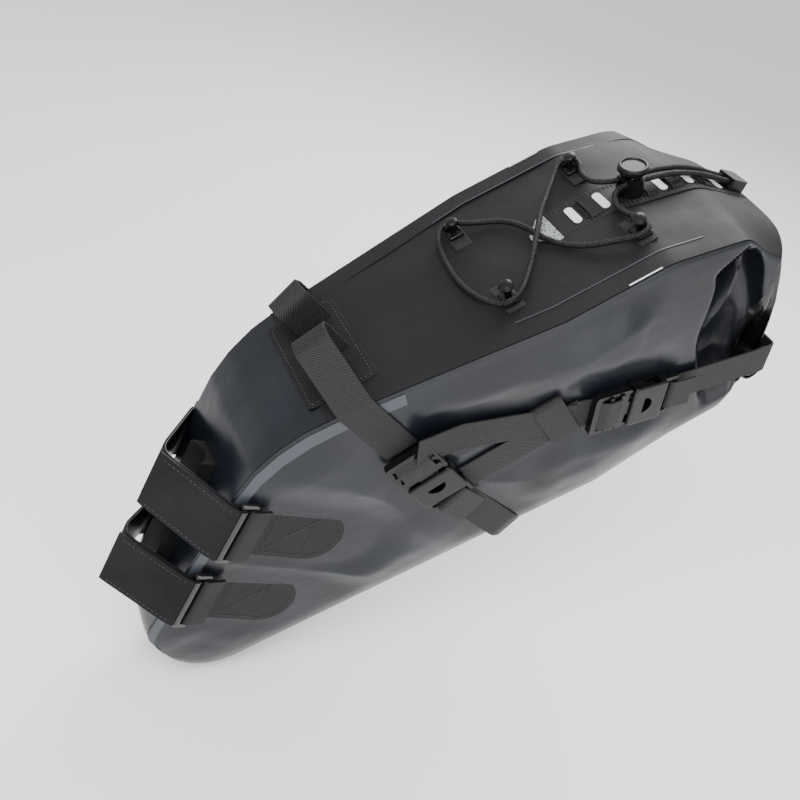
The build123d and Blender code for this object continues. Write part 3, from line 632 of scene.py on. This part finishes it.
def makeShell(looks):
    topEnd, noseEnd = shareAt(130), shareAt(-28, False)
    for name, start, end, material, slot, nodes in (
            ("topSkin", 0, topEnd, looks["top"], "top_fabric", ("top_panel",)),
            ("noseSkin", topEnd, noseEnd, looks["side"], "side_fabric", ("nose_panel", "stiffener_board")),
            ("bottomSkin", noseEnd, 1, looks["side"], "side_fabric", ("bottom_panel",))):
        length = (end - start) * pathLength(outlinePath)

        def point(s, t, start=start, end=end):
            return bandSurface(start + (end - start) * s, 2 * t - 1) * mm

        cells = (int(length / 4), shell["bandCells"])
        skin = bentGrid(name, cells, point, material, (length, 150), shell["thickness"], 0)
        ridden(skin, "bag", slot, *nodes)
    skin = bentGrid("sideSkinLeft", shell["sideCells"], lambda s, t: sideSurface(s, t) * mm,
                    looks["side"], (540, 180), shell["thickness"], 0)
    bothSides(skin, "bag", "side_fabric", "side_panel_left")
    print("skins made")
    tapeWidth = shell["tapeWidth"]

    def tapePoint(s, t, start=0.02, end=0.52, low=0.012, lift=0.8):
        here = start + (end - start) * s
        height = max((along(upperPath, here) - along(lowerPath, here)).length, 20)
        return sideLifted(here, low + t * tapeWidth / height, lift) * mm

    tape = bentGrid("frontTapeLeft", (120, 4), tapePoint, looks["tape"], (300, tapeWidth), 0.5, 0)
    bothSides(tape, "bag", "side_fabric")
    # Each strip along the top's edge: ends, distance in from the edge, width, lift
    strips = [("topSeam", 0.03, shareAt(110), 0.0, shell["seamWidth"], 0.8, looks["top"]),
              ("topSeamLine", shareAt(376), shareAt(240), shell["seamWidth"] - 1, 0.8, 1.25,
               looks["tape"]),
              # The last strip is white bead film laid on the seam as a painted glint of light
              ("seamPaintedGlint", shareAt(337), shareAt(313), 0.4, 0.9, 1.25, looks["film"])]
    for name, start, end, offset, width, lift, material in strips:
        def point(s, t, start=start, end=end, width=width, lift=lift, offset=offset):
            k = start + (end - start) * s
            half = halfWidth(along(outlinePath, k).x)
            return bandLifted(k, -1 + (t * width + offset) / half, lift) * mm
        strip = bentGrid(name + "Left", (120, 3), point, material, (320, width), 0.4, 0)
        bothSides(strip, "bag", "top_fabric")
    print("shell made")


mouth = {"rollCentre": (409, -107), "rollHalf": 81, "rollSize": (13, 10), "gusset": 42, "turns": 2.6,
         "cells": (120, 22)}


def rimPoint(a):
    a = a % 1.0
    if a < 0.25:
        return bandSurface(0, -1 + 8 * a)
    if a < 0.5:
        point = sideSurface(1, (a - 0.25) * 4)
        return Vector((point.x, -point.y, point.z))
    if a < 0.75:
        return bandSurface(1, 1 - 8 * (a - 0.5))
    return sideSurface(1, 1 - (a - 0.75) * 4)


def neckPoint(a, v):
    a = a % 1.0
    rim = rimPoint(a)
    u, w = mouth["rollCentre"]
    if a < 0.25:
        y, up = -1 + 8 * a, 1
    elif a < 0.5:
        y, up = 1, 1 - 8 * (a - 0.25)
    elif a < 0.75:
        y, up = 1 - 8 * (a - 0.5), -1
    else:
        y, up = -1, -1 + 8 * (a - 0.75)
    sidePart = 1 - abs(up) if abs(y) == 1 else 0
    inward = mouth["gusset"] * sidePart * smooth(v, 0, 0.8)
    goal = alongDir * (u - 2 + 3 * up) + sideDir * (y * (mouth["rollHalf"] - 4) - math.copysign(inward, y)) \
        + aboveDir * (w + 6 * up)
    here = rim.lerp(goal, v)
    here.y += -math.copysign(inward * 0.5 * math.sin(math.pi * v), rim.y) if sidePart else 0
    puff = math.sin(math.pi * v) * (7 if up > 0 else 4)
    folds = math.sin(math.pi * v) * 1.8 * noise.noise(Vector((a * 9, v * 1.5, 1.7)))
    crease = math.sin(math.pi * v) * 1.6 * math.sin(a * 60 + v * 4) * (sidePart > 0)
    out = (alongDir * math.cos(math.radians(19)) - aboveDir * math.sin(math.radians(19)))
    return here + out * (puff + folds) + sideDir * math.copysign(crease, rim.y)


def makeMouth(looks):
    around = mouth["cells"][0]
    neck = bentGrid("mouthNeckSkin", mouth["cells"], lambda s, t: neckPoint(s, t) * mm, looks["mouth"],
                    (620, 90), 0.9, 0)
    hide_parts("mouth_neck")
    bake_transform(neck)
    # The neck's points round its rim and round the roll
    rims = [neckPoint(n / around, 0) for n in range(around)]
    rolls = [neckPoint(n / around, 1) for n in range(around)]

    slant = math.radians(60)
    u, w = mouth["rollCentre"]
    up = alongDir * math.cos(slant) + aboveDir * math.sin(slant)
    rear = alongDir * math.sin(slant) - aboveDir * math.cos(slant)

    def roll(s, t):
        angle = t * mouth["turns"] * 2 * math.pi
        grow = 0.42 + 0.58 * t
        y = (2 * s - 1) * mouth["rollHalf"]
        wobble = 0.7 * noise.noise(Vector((y / 30, t * 5, 2.2)))
        slump = -3.0 * (1 - (y / mouth["rollHalf"]) ** 2)
        spot = bagPoint(u, y, w + slump)
        spot += up * (mouth["rollSize"][0] * grow + wobble) * math.cos(angle)
        return (spot + rear * (mouth["rollSize"][1] * grow + wobble) * math.sin(angle)) * mm

    rolled = bentGrid("closureRollSkin", (60, 96), roll, looks["mouth"],
                      (2 * mouth["rollHalf"], 160), 1.0, 0)
    ridden(rolled, "closure", "side_fabric", "closure_roll", "roll_stiffener")
    print("mouth made")


posts = {"radius": 13.7, "width": 46, "thickness": 2.0, "spacing": 77, "ringSetback": 30, "ringWire": 3.5,
         "ringDepth": 13, "gap": 0.3, "tabLength": 78, "tabThickness": 2.0, "standoff": 3.4, "edge": 1.6,
         "sheet": 1.2, "pile": 0.8, "seamInset": 3, "bend": 18.0, "neckRun": 16}


def makePostStrap(name, height, looks):
    plane = postPlane(height)
    thick = posts["thickness"]
    middle = posts["radius"] + thick / 2
    ringAt = plane["origin"] + plane["x"] * posts["ringSetback"]
    ringQ = posts["ringSetback"]
    ringY = halfWidth(ringAt.dot(alongDir)) + posts["ringWire"] + posts["gap"] + posts["standoff"]
    bendQ = posts["bend"]
    bendAt = plane["origin"] + plane["x"] * bendQ
    bendY = halfWidth(bendAt.dot(alongDir)) + thick + posts["gap"] + posts["edge"]
    hairpin = (posts["ringWire"] + thick) / 2 + posts["gap"]
    barQ = ringQ - (posts["ringDepth"] - posts["ringWire"]) / 2
    leg = [(barQ - 2, ringY + hairpin), (barQ + hairpin, ringY + hairpin), (barQ + hairpin, ringY - hairpin),
           (bendQ, bendY)]
    reach = math.hypot(bendQ, bendY)
    front = -middle / math.sin(math.atan2(bendY, bendQ) - math.asin(middle / reach))
    points = [(q, -y) for q, y in leg] + [(front, 0)] + list(reversed(leg))
    small = hairpin * 0.8
    radii = [small, small, 2 * hairpin, middle, 2 * hairpin, small, small]
    path = [onPlane(plane, p.x, p.y) for p in roundedPath([(q, y, 0) for q, y in points], radii, 1.2)]
    sheetThick, pileThick = posts["sheet"], posts["pile"]

    # The sheet is the outer layer of the strap and the loop pile the inner one
    def shifted(places, by):
        moved = []
        for n, here in enumerate(places):
            run = places[min(n + 1, len(places) - 1)] - places[max(n - 1, 0)]
            moved.append(here + postDir.cross(run).normalized() * by)
        return moved

    wrap = strap(name + "StrapSheet", shifted(path, -pileThick / 2), postDir, posts["width"], sheetThick,
                 looks["sheet"], 1.4)
    ridden(wrap, "bag", "strap_sheet", name + "_strap")
    inner = strap(name + "StrapPile", shifted(path, sheetThick / 2), postDir, posts["width"] + 0.6,
                  pileThick, looks["pile"], 1.4)
    ridden(inner, "bag", "strap_sheet")

    layer = thick + posts["gap"]
    lean = math.atan2(bendY, bendQ - front)
    outer = front - layer / math.sin(lean)
    startQ = barQ - 2
    tail = [(startQ, -ringY - hairpin), (bendQ - layer / 2, -bendY - layer), (outer, 0),
            (front + 2, bendY / 3)]
    tailPath = roundedPath([(q, y, 0) for q, y in tail], [2 * hairpin, middle + layer], 1.2)
    stop = max(n for n, p in enumerate(tailPath) if p.y < -0.6)
    tailPath = [onPlane(plane, p.x, p.y) for p in tailPath[:stop]]
    for part, by, deep, look, extra in (("Sheet", -pileThick / 2, sheetThick, "sheet", 0),
                                        ("Pile", sheetThick / 2, pileThick, "pile", 0.6)):
        piece = strap(name + "Tail" + part, shifted(tailPath, by), postDir, posts["width"] + extra, deep,
                      looks[look], 1.4)
        if part == "Sheet":
            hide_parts(name + "_strap_tail")
        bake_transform(piece)
    offset = posts["width"] / 2 - posts["seamInset"]
    lines = []
    for hand in (-1, 1):
        line = []
        for n in range(4, len(tailPath) - 4):
            run = tailPath[n + 1] - tailPath[n - 1]
            out = run.cross(postDir).normalized()
            out = out if out.y < 0 else -out
            line.append(tailPath[n] + postDir * hand * offset + out * (thick / 2 + 0.1))
        lines.append(line)
    stitches(name + "TailStitching", lines, -sideDir, looks["thread"], name + "_strap_tail")

    # The tab is folded round the ring's rear bar and sewn to the side as a D
    tabQ = ringQ + (posts["ringDepth"] - posts["ringWire"]) / 2
    thin = posts["tabThickness"]
    fold = (posts["ringWire"] + thin) / 2 + posts["gap"]
    neckQ = tabQ + posts["neckRun"]
    flatStart = plane["origin"] + plane["x"] * neckQ
    flatU = flatStart.dot(alongDir)
    neckY = halfWidth(flatU) + thin + posts["gap"] - 1.2
    endQ = tabQ + posts["tabLength"]
    endU = (plane["origin"] + plane["x"] * endQ).dot(alongDir)
    endY = halfWidth(endU) + thin / 2 + 0.4
    neck = [(tabQ + 12, -ringY - fold + 1.5), (tabQ - fold, -ringY - fold),
            (tabQ - fold, -ringY + fold + 0.6), (neckQ, -neckY), (endQ, -endY)]
    rounded = roundedPath([(q, y, 0) for q, y in neck], [fold, fold, 6], 1.2)
    tabPath = [onPlane(plane, p.x, p.y) for p in rounded]

    def tabHalf(at, length):
        left = length - at
        half = posts["width"] / 2
        return half if left >= half else max(math.sqrt(max(half ** 2 - (half - left) ** 2, 0)), 0.6)

    tab = strap(name + "TabLeft", tabPath, postDir, posts["width"], thin, looks["tab"], 1.3, tabHalf, 14)
    bothSides(tab, "bag", "strap_sheet", name + "_tab_left")

    out = sidePlane(flatU, flatStart.dot(aboveDir), 0)["z"]
    radius = posts["width"] / 2 - 3.5
    baseQ, lastQ = tabQ + 22, endQ - posts["width"] / 2

    def sewn(q, h):
        share = max(0, min(1, (q - neckQ) / (endQ - neckQ)))
        y = -(neckY + (endY - neckY) * share) - thin / 2 - 0.15
        return onPlane(plane, q, y, h)

    arc = [sewn(lastQ + radius * math.cos(a), radius * math.sin(a))
           for a in [math.pi / 2 - math.pi * n / 24 for n in range(25)]]
    outline = [sewn(baseQ, radius)] + arc + [sewn(baseQ, -radius), sewn(baseQ, radius)]
    edge, far = baseQ + 2, lastQ - 2
    cross = [[sewn(edge, hand * (radius - 3)), sewn(far, hand * (3 - radius))] for hand in (1, -1)]
    box = [[sewn(far, radius - 1), sewn(far, 1 - radius)]]
    seam = stitches(name + "TabStitchingLeft", [outline] + cross + box, out, looks["thread"], "bag",
                    3.2)
    mirrored(seam, name + "TabStitchingRight", "bag", "strap_sheet")
    print(name, "strap made")


web = {"width": 25, "thickness": 1.5, "lift": 1.2, "gap": 0.3, "railMouth": (151.5, -43), "railAngle": -74,
       "keeper": (262, -50), "closureAngle": -19, "closureRun": 37, "start": (175.5, -70),
       "tail": (172, -18),
       "bellyAngle": -68, "railHalf": 22, "railHeight": 30, "buckleLift": 2.9, "buckleHeight": 9.6,
       "bar": 4.0, "femaleLength": 38, "bellyPlay": 1.7}


def makeWebbing(looks):
    def band(name, path, widthDir):
        return strap(name, path, widthDir, web["width"], web["thickness"], looks["web"])

    low = web["lift"] + web["thickness"] / 2
    flat = sidePlane(*web["railMouth"], web["railAngle"])
    turn = math.radians(-web["railAngle"])
    seamRun = -(bag["topW"] - web["railMouth"][1]) / math.sin(turn)
    seamHalf = halfWidth(web["railMouth"][0] + seamRun * math.cos(turn))
    loopOut, loopHalf = web["railHalf"] - seamHalf, 7
    loopRun = seamRun - web["railHeight"]
    barTop = web["buckleLift"] + 8
    ladder = [(-5.5, low + 3), (-8, barTop), (-13, barTop + 1.4), (-20, barTop + 1.6), (-25.5, barTop - 1),
              (-28, low + 2)]
    upper = [(-30, low), (seamRun - 5, low), (loopRun - 8, loopOut + loopHalf),
             (loopRun - 8, loopOut - loopHalf), (seamRun - 6, loopOut - loopHalf)]

    def runPath(plane, places, radii, step=1.2):
        rounded = roundedPath([(a, b, 0) for a, b in places], radii, step)
        return [onPlane(plane, p.x, 0, p.y) for p in rounded]

    rail = band("railStrapLeft", runPath(flat, upper, [8, 7, 7]), flat["y"])
    plugs = ("rail_plug_left", "rail_plug_right")
    blendedPair(rail, "rail_strap_", plugs)
    foldOver = band("railLadderFoldLeft", runPath(flat, ladder, [3, 3, 4, 3]), flat["y"])
    bothSides(foldOver, "rail_plug_left", "webbing")

    # Belly strap
    turn = math.radians(web["bellyAngle"])
    barRun = web["femaleLength"] - web["bar"] / 2
    bar = onPlane(flat, barRun)
    barU, barW = bar.dot(alongDir), bar.dot(aboveDir)
    run = alongDir * math.cos(turn) + aboveDir * math.sin(turn)
    origin = bagPoint(barU, 0, barW)
    across = run.cross(sideDir)
    barOut = halfWidth(barU) + web["buckleLift"] + web["buckleHeight"] / 2
    bottomRun = (barW - bag["bellyRise"][1]) / math.sin(-turn) + 12
    bottomHalf = halfWidth(barU + bottomRun * math.cos(turn)) + 2
    wrap = (web["bar"] + web["thickness"]) / 2 + 0.5 + web["bellyPlay"]
    leg = [(26, barOut + wrap - 2.5), (-4.5, barOut + wrap), (-4.5, barOut - wrap),
           (14, barOut - wrap - 0.6), (bottomRun - 24, bottomHalf), (bottomRun, bottomHalf - 10)]
    points = leg + [(a, -b) for a, b in reversed(leg)]
    path = roundedPath([(a, -b, 0) for a, b in points], [2.4, 2.4, 12, 14, 16, 16, 14, 12, 2.4, 2.4], 1.5)
    path = [origin + run * p.x + sideDir * p.y for p in path]
    belly = band("bellyStrapWeb", path, across)
    ridden(belly, "bag", "webbing", "belly_strap")

    # Compression strap, its keeper, and the rail strap's tail on top of it
    keeper, start, tail = web["keeper"], web["start"], web["tail"]
    legAngle = math.degrees(math.atan2(keeper[1] - start[1], keeper[0] - start[0]))
    legLength = math.hypot(keeper[1] - start[1], keeper[0] - start[0])
    legFlat = sidePlane(*start, legAngle)
    legPath = runPath(legFlat, [(-8, low), (20, low), (legLength - 8, low), (legLength + 6, low)], [5, 5])
    lower = band("compressionLegLeft", legPath, legFlat["y"])
    bothSides(lower, "bag", "webbing", "compression_strap_left")
    turn = math.radians(web["closureAngle"])
    run = web["closureRun"]
    mouthAt = (keeper[0] + run * math.cos(turn), keeper[1] + run * math.sin(turn))
    mainFlat = sidePlane(*mouthAt, web["closureAngle"])
    mainPath = runPath(mainFlat, [(-42, low + 0.2), (-34, low + 1), (-27, low + 2.6), (-23, low + 3.6)],
                       [10, 8])
    main = band("compressionMainLeft", mainPath, mainFlat["y"])
    blendedPair(main, None, ("closure", "closure"))
    fold = band("closureLadderFoldLeft", runPath(mainFlat, ladder, [3, 3, 4, 3]), mainFlat["y"])
    bothSides(fold, "closure_plug_left", "webbing")

    end = (keeper[0] - 6, keeper[1] + 1)
    tailAngle = math.degrees(math.atan2(end[1] - tail[1], end[0] - tail[0]))
    tailLength = math.hypot(end[1] - tail[1], end[0] - tail[0])
    tailFlat = sidePlane(*tail, tailAngle)
    high = web["lift"] + web["thickness"] * 1.5 + web["gap"]
    tailPath = runPath(tailFlat, [(-22, high + 9), (-10, high + 6), (10, high + 0.6),
                                  (tailLength * 0.6, high + 0.4), (tailLength + 4, high)], [12, 20, 20])
    tailStrap = band("railTailLeft", tailPath, tailFlat["y"])
    blendedPair(tailStrap, "rail_strap_tail_", plugs)

    keeperFlat = sidePlane(start[0] + (legLength - 14) * math.cos(math.radians(legAngle)),
                           start[1] + (legLength - 14) * math.sin(math.radians(legAngle)), legAngle)
    wide, tall, shift = web["width"] / 2 + 8.5, 5.4, 6.5
    ring = [(wide, 0.7), (wide, tall), (-wide, tall), (-wide, 0.7), (wide, 0.7)]
    loop = [onPlane(keeperFlat, 0, shift + p.x, p.y)
            for p in roundedPath([(0, 0.7, 0)] + [(a, b, 0) for a, b in ring[:4]] + [(0, 0.7, 0)],
                                 [2, 3, 3, 2], 1.0)]
    keeperPiece = strap("keeperLoopLeft", loop, keeperFlat["x"], 22, 1.2, looks["elastic"], 1.0)
    bothSides(keeperPiece, "bag", "webbing", "keeper_left")

    # End webbing of the roll, folded round the closure buckle's bar
    barHeight = web["buckleLift"] + web["buckleHeight"] / 2
    wrapBar = (web["bar"] + web["thickness"]) / 2 + 0.5
    rollU, rollW = mouth["rollCentre"]
    rollRun = (bagPoint(rollU, 0, rollW) - mainFlat["origin"]).dot(mainFlat["x"])
    endLayer = mouth["rollHalf"] - bag["rearHalf"] + web["gap"] + web["thickness"] / 2
    points = [(barRun + 17, barHeight + wrapBar), (barRun - wrapBar, barHeight + wrapBar),
              (barRun - wrapBar, barHeight - wrapBar), (barRun + 8, barHeight - wrapBar),
              (rollRun - 22, endLayer + 0.6), (rollRun + 10.5, endLayer), (rollRun + 11, endLayer - 16)]
    ends = band("rollWebbingStrapLeft", runPath(mainFlat, points, [2.4, 2.4, 6, 6, 5]), mainFlat["y"])
    bothSides(ends, "closure", "webbing", "roll_webbing_left")

    # Anchor patch on the top, sewn round its edge
    foot = onPlane(flat, seamRun)
    footU = foot.dot(alongDir) - 2
    size = (52, 2 * (web["railHalf"] + 7) + 30)

    def patch(s, t):
        squeeze = 1 - 0.03 * (abs(2 * s - 1) ** 8 + abs(2 * t - 1) ** 8)
        return place(footU + (s - 0.5) * size[0] * squeeze, (t - 0.5) * size[1] * squeeze, bag["topW"] + 0.9)

    anchor = bentGrid("railAnchorPatch", (16, 26), patch, looks["tab"], size, 1.4, 0, 0.4)
    ridden(anchor, "bag", "webbing", "rail_strap_anchor")
    half = (size[0] / 2 - 4, size[1] / 2 - 4)
    border = [bagPoint(footU + a * half[0], b * half[1], bag["topW"] + 1.7) for a, b in square]
    stitches("anchorStitching", [border], aboveDir, looks["thread"], "bag", 3.4)
    print("webbing made")


cordRoute = [
    (446.0, 4.0, -2.6), (433.5, 4.0, 8.4), (418.0, 3.6, 22.5), (400.0, 3.4, 34.0),
    (382.0, 3.5, 40.5), (366.0, 3.5, 44.3), (352.0, 4.5, 47.6), (343.0, 14.0, 47.2),
    (343.5, 27.0, 46.0), (349.5, 37.5, 45.0), (349.0, 48.5, 45.0), (338.0, 49.0, 45.0),
    (329.0, 39.0, 45.0), (316.0, 25.0, 46.5), (301.0, 9.0, 48.6), (289.0, -7.5, 48.6),
    (277.0, -22.0, 46.4), (266.0, -34.0, 45.0), (257.0, -43.0, 45.0), (249.0, -47.0, 45.0),
    (239.5, -46.0, 45.0), (233.0, -35.0, 44.2), (229.0, -19.0, 43.0), (228.0, -1.0, 42.6),
    (230.0, 17.0, 43.4), (233.5, 33.0, 44.6), (240.0, 45.5, 45.0), (250.0, 46.5, 45.0),
    (259.0, 37.0, 44.6), (272.0, 31.0, 43.0), (283.0, 22.0, 42.3), (289.5, 8.0, 42.2),
    (292.5, -8.0, 42.2), (299.5, -23.0, 42.4), (311.0, -35.0, 43.0), (325.0, -43.0, 44.4),
    (336.0, -48.5, 45.0), (348.0, -49.5, 45.0), (350.0, -38.0, 45.0), (343.5, -27.0, 46.0),
    (343.0, -14.0, 47.2), (352.0, -4.5, 47.6), (366.0, -3.5, 44.3), (382.0, -3.5, 40.0),
    (400.0, -3.4, 33.0), (418.0, -3.6, 21.8), (433.5, -4.0, 8.4), (446.0, -4.0, -2.6),
]
cordSizes = {"diameter": 4, "length": 711}


def makeCord(looks):
    curve = bpy.data.curves.new("elasticCord", "CURVE")
    curve.dimensions = "3D"
    spline = curve.splines.new("NURBS")
    spline.points.add(len(cordRoute) - 1)
    for point, route in zip(spline.points, cordRoute):
        point.co = (*place(*route), 1)
    spline.order_u = 3
    spline.use_endpoint_u = True
    curve.bevel_depth = cordSizes["diameter"] / 2 * mm
    curve.bevel_resolution = 4
    curve.resolution_u = 8
    curve.use_fill_caps = True
    piece = bpy.data.objects.new("elasticCord", curve)
    bpy.context.scene.collection.objects.link(piece)
    curve.materials.append(looks["cord"])
    ridden(piece, "bag", "cord", "bungee_cord")
    print("cord made")


chain = {"lockU": 363, "startU": 300, "width": 30, "thickness": 1.4, "lift": 1.1}


def topFrame(u):
    share = shareAt(u)
    here = along(outlinePath, share)
    ahead = along(outlinePath, max(share - 0.004, 0)) - along(outlinePath, share + 0.004)
    run = (alongDir * ahead.x + aboveDir * ahead.y).normalized()
    out = sideDir.cross(run) * -1
    out = out if out.dot(aboveDir) > 0 else -out
    return here, run, out


def makeChain(looks):
    last = shareAt(chain["startU"])
    path = [alongDir * p.x + aboveDir * p.y for p in outlinePath[:int(last * (len(outlinePath) - 1))]]
    path = [p + topFrame(p.dot(alongDir))[2] * chain["lift"] for p in path]
    path = list(reversed(path))[:-1]
    strip = strap("daisyChainTape", path, sideDir, chain["width"], chain["thickness"], looks["chain"], 2.5)
    ridden(strip, "bag", "daisy_webbing", "daisy_chain")
    lines = []
    for y in (-13, -11, 11, 13):
        lines.append([p + sideDir * y + topFrame(p.dot(alongDir))[2] * 0.8 for p in path])
    stitches("daisyChainStitching", lines, aboveDir, looks["thread"], "bag", 3.2)
    start = path[0]

    def tipHalf(at, length):
        return 14.5 * min(1, 0.12 + at / 14)

    tipPath = [start - alongDir * (18 - n) + aboveDir * 0.1 for n in range(0, 19, 2)]
    point = strap("daisyChainTip", tipPath, sideDir, 29, 1.2, looks["mesh"], 1.5, tipHalf, 10)
    ridden(point, "bag", "daisy_webbing")
    print("chain made")


# "clear" is how near the lock a loop may be
loops = {"first": 331, "pitch": 22, "count": 5, "length": 9, "width": 21, "rise": 1.7, "slot": 2.6,
         "clear": 11}


# Raised loops of the chain, each with a flat dark strip of pile beside it: painted shade standing in for the
# open slot that a strap is threaded through
def makeChainLoops(looks):
    for n in range(loops["count"]):
        u = loops["first"] + n * loops["pitch"]
        if abs(u - chain["lockU"]) < loops["clear"]:
            continue
        spot, run, out = topFrame(u)
        base = alongDir * spot.x + aboveDir * spot.y + out * (chain["lift"] + chain["thickness"] / 2)

        def arch(s, t, base=base, run=run, out=out):
            rise = 0.5 + loops["rise"] * math.sin(math.pi * t) ** 0.5
            spot = base + run * (s - 0.5) * loops["length"] + sideDir * (t - 0.5) * loops["width"]
            return (spot + out * rise) * mm

        def paintedSlotShade(s, t, base=base, run=run, out=out):
            slide = (s - 0.5) * loops["slot"] - loops["length"] / 2 - 1.2
            return (base + run * slide + sideDir * (t - 0.5) * (loops["width"] - 3) + out * 0.35) * mm

        ridden(bentGrid(f"daisyLoop{n + 1}", (5, 16), arch, looks["chain"], (9, 21), 0.8, 0, 0.2),
               "bag", "daisy_webbing")
        # A flat dark sheet laid on the chain as the painted shade of the slot
        ridden(bentGrid(f"daisySlot{n + 1}", (3, 10), paintedSlotShade, looks["pile"], (3, 18), 0.4, 0),
               "bag", "daisy_webbing")


# The raised rim round the lock button's dished face
def makeButtonRim(looks):
    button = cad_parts["cord_lock_button"]
    run, out = topFrame(chain["lockU"])[1:]
    corners = [button.matrix_world @ v.co for v in button.data.vertices]
    top = max(c.dot(out) for c in corners)
    face = [c for c in corners if c.dot(out) > top - 0.0004]
    middle = sum(face, Vector()) / len(face)
    reach = max((c - middle).length for c in face)
    bpy.ops.mesh.primitive_torus_add(major_radius=reach - 0.0012, minor_radius=0.0012,
                                     major_segments=48, minor_segments=12)
    rim = bpy.context.object
    rim.name = rim.data.name = "lockButtonRim"
    turn = Matrix((run, sideDir, out)).transposed().to_4x4()
    rim.data.transform(Matrix.Translation(middle) @ turn)
    giveMaterial(rim, looks["plastic"])
    bpy.ops.object.shade_smooth()
    ridden(rim, "cord_button", "moulded_plastic")


hook = {"places": ((248, 40), (344, 43)), "post": 2.5}


def makeHooks(looks):
    made = []
    for u, half in hook["places"]:
        for hand in (-1, 1):
            base = bagPoint(u, hand * half, bag["topW"] + 1.9)
            bpy.ops.mesh.primitive_cylinder_add(vertices=28, radius=hook["post"] * mm, depth=7 * mm)
            stem = bpy.context.object
            bm = bmesh.new()
            bm.from_mesh(stem.data)
            for vertex in bm.verts:
                if vertex.co.z > 0:
                    vertex.co.z += 1.2 * mm
            cap = max(bm.faces, key=lambda f: f.calc_center_median().z)
            for grow, rise in ((1.9, 0.0), (1.08, 0.9), (0.85, 1.6), (0.55, 0.9)):
                cap = bmesh.ops.extrude_face_region(bm, geom=[cap])["geom"]
                cap = [g for g in cap if isinstance(g, bmesh.types.BMFace)][0]
                middle = cap.calc_center_median()
                for vertex in cap.verts:
                    lean = Vector((0, -hand * 0.5 * mm, rise * mm))
                    vertex.co = middle + (vertex.co - middle) * grow + lean
            bm.to_mesh(stem.data)
            bm.free()
            axes = Matrix((alongDir, sideDir, aboveDir)).transposed().to_4x4()
            stem.data.transform(Matrix.Translation((base + aboveDir * 5.4) * mm) @ axes)
            bpy.ops.mesh.primitive_cube_add(size=1)
            foot = bpy.context.object
            for vertex in foot.data.vertices:
                x, y, z = vertex.co
                vertex.co = base * mm + place(x * 11, y * 13, (z + 0.5) * 2.6)
            applyModifier(foot, "round", "BEVEL", width=0.9 * mm, segments=3)
            made += [stem, foot]
    hooks = joined(made, "cordHookPosts")
    giveMaterial(hooks, looks["plastic"])
    outwardNormals(hooks)
    ridden(hooks, "bag", "moulded_plastic", "cord_hooks")
    tabs, lines = [], []
    for u, half in hook["places"]:
        for hand in (-1, 1):
            centre = hand * (half - 3)

            def tab(s, t, u=u, centre=centre):
                return place(u + (s - 0.5) * 13, centre + (t - 0.5) * 27, bag["topW"] + 0.9)

            tabs.append(bentGrid("hookTab", (6, 12), tab, looks["web"], (13, 27), 1.4, 0, 0.4))
            lines.append([bagPoint(u + a * 5, centre + b * 11.5, bag["topW"] + 1.7) for a, b in square])
    ridden(joined(tabs, "hookTabWebbing"), "bag", "webbing", "hook_tabs")
    stitches("hookTabStitching", lines, aboveDir, looks["thread"], "bag", 2.8, 0.6)
    print("hooks made")


# The hard pieces keep their CAD shapes and take their finishes
def dressCadNodes(looks):
    for name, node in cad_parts.items():
        if "ring_left" in name or "ring_right" in name:
            giveMaterial(node, looks["wire"])
        elif "spring" in name:
            giveMaterial(node, looks["steel"])
        elif "buckle" in name or name.startswith("cord_"):
            giveMaterial(node, looks["plastic"])
        elif name == "reflective_bars":
            giveMaterial(node, looks["film"])
        elif name == "post_pads":
            giveMaterial(node, looks["rubber"])


# Each light: name, place, size, power and the place that it points to, in metres and watts
studio = {"floorGap": 0.004, "floorSize": 6,
          "lights": [("key", (-0.5, -0.6, 1.3), 1.1, 34, (0.15, 0, 0.1)),
                     ("rim", (0.9, 0.7, 0.9), 0.8, 14, (0.15, 0, 0.1)),
                     ("fill", (0.4, -1.2, 0.3), 1.0, 7, (0.15, 0, 0))]}


def makeStudio(looks):
    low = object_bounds()[0].z - studio["floorGap"]
    bpy.ops.mesh.primitive_plane_add(size=studio["floorSize"], location=(0, 0, low))
    floor = bpy.context.object
    floor.name = "studioFloor"
    giveMaterial(floor, looks["floor"])
    floor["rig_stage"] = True
    for name, spot, size, power, aim in studio["lights"]:
        bpy.ops.object.light_add(type="AREA", location=spot)
        light = bpy.context.object
        light.name = name
        light.data.size = size
        light.data.energy = power
        light.rotation_euler = (Vector(spot) - Vector(aim)).to_track_quat("Z", "Y").to_euler()
    world = bpy.data.worlds.new("studio")
    bpy.context.scene.world = world
    world.use_nodes = True
    world.node_tree.nodes["Background"].inputs["Color"].default_value = srgb("#f2f3f5")
    world.node_tree.nodes["Background"].inputs["Strength"].default_value = 1.0


looks = {"top": topFabric(), "side": sideFabric(), "mouth": mouthFabric(), "tape": seamTape(),
         "sheet": rubberSheet(), "pile": loopPile(), "web": webbingWeave(), "plastic": acetal(),
         "wire": enamelledWire(), "thread": sewingThread(), "film": beadFilm(), "cord": braidedCover(),
         "mesh": meshTape(), "rubber": padRubber(), "steel": springSteel(), "floor": stageFloor()}
looks["tab"] = looks["top"]
looks["chain"] = looks["top"]
looks["elastic"] = looks["web"]

makeCamera()
makeCord(looks)
makeShell(looks)
makeMouth(looks)
makePostStrap("upper", 0, looks)
makePostStrap("lower", -posts["spacing"], looks)
makeWebbing(looks)
makeChain(looks)
makeChainLoops(looks)
makeButtonRim(looks)
makeHooks(looks)
dressCadNodes(looks)
makeStudio(looks)
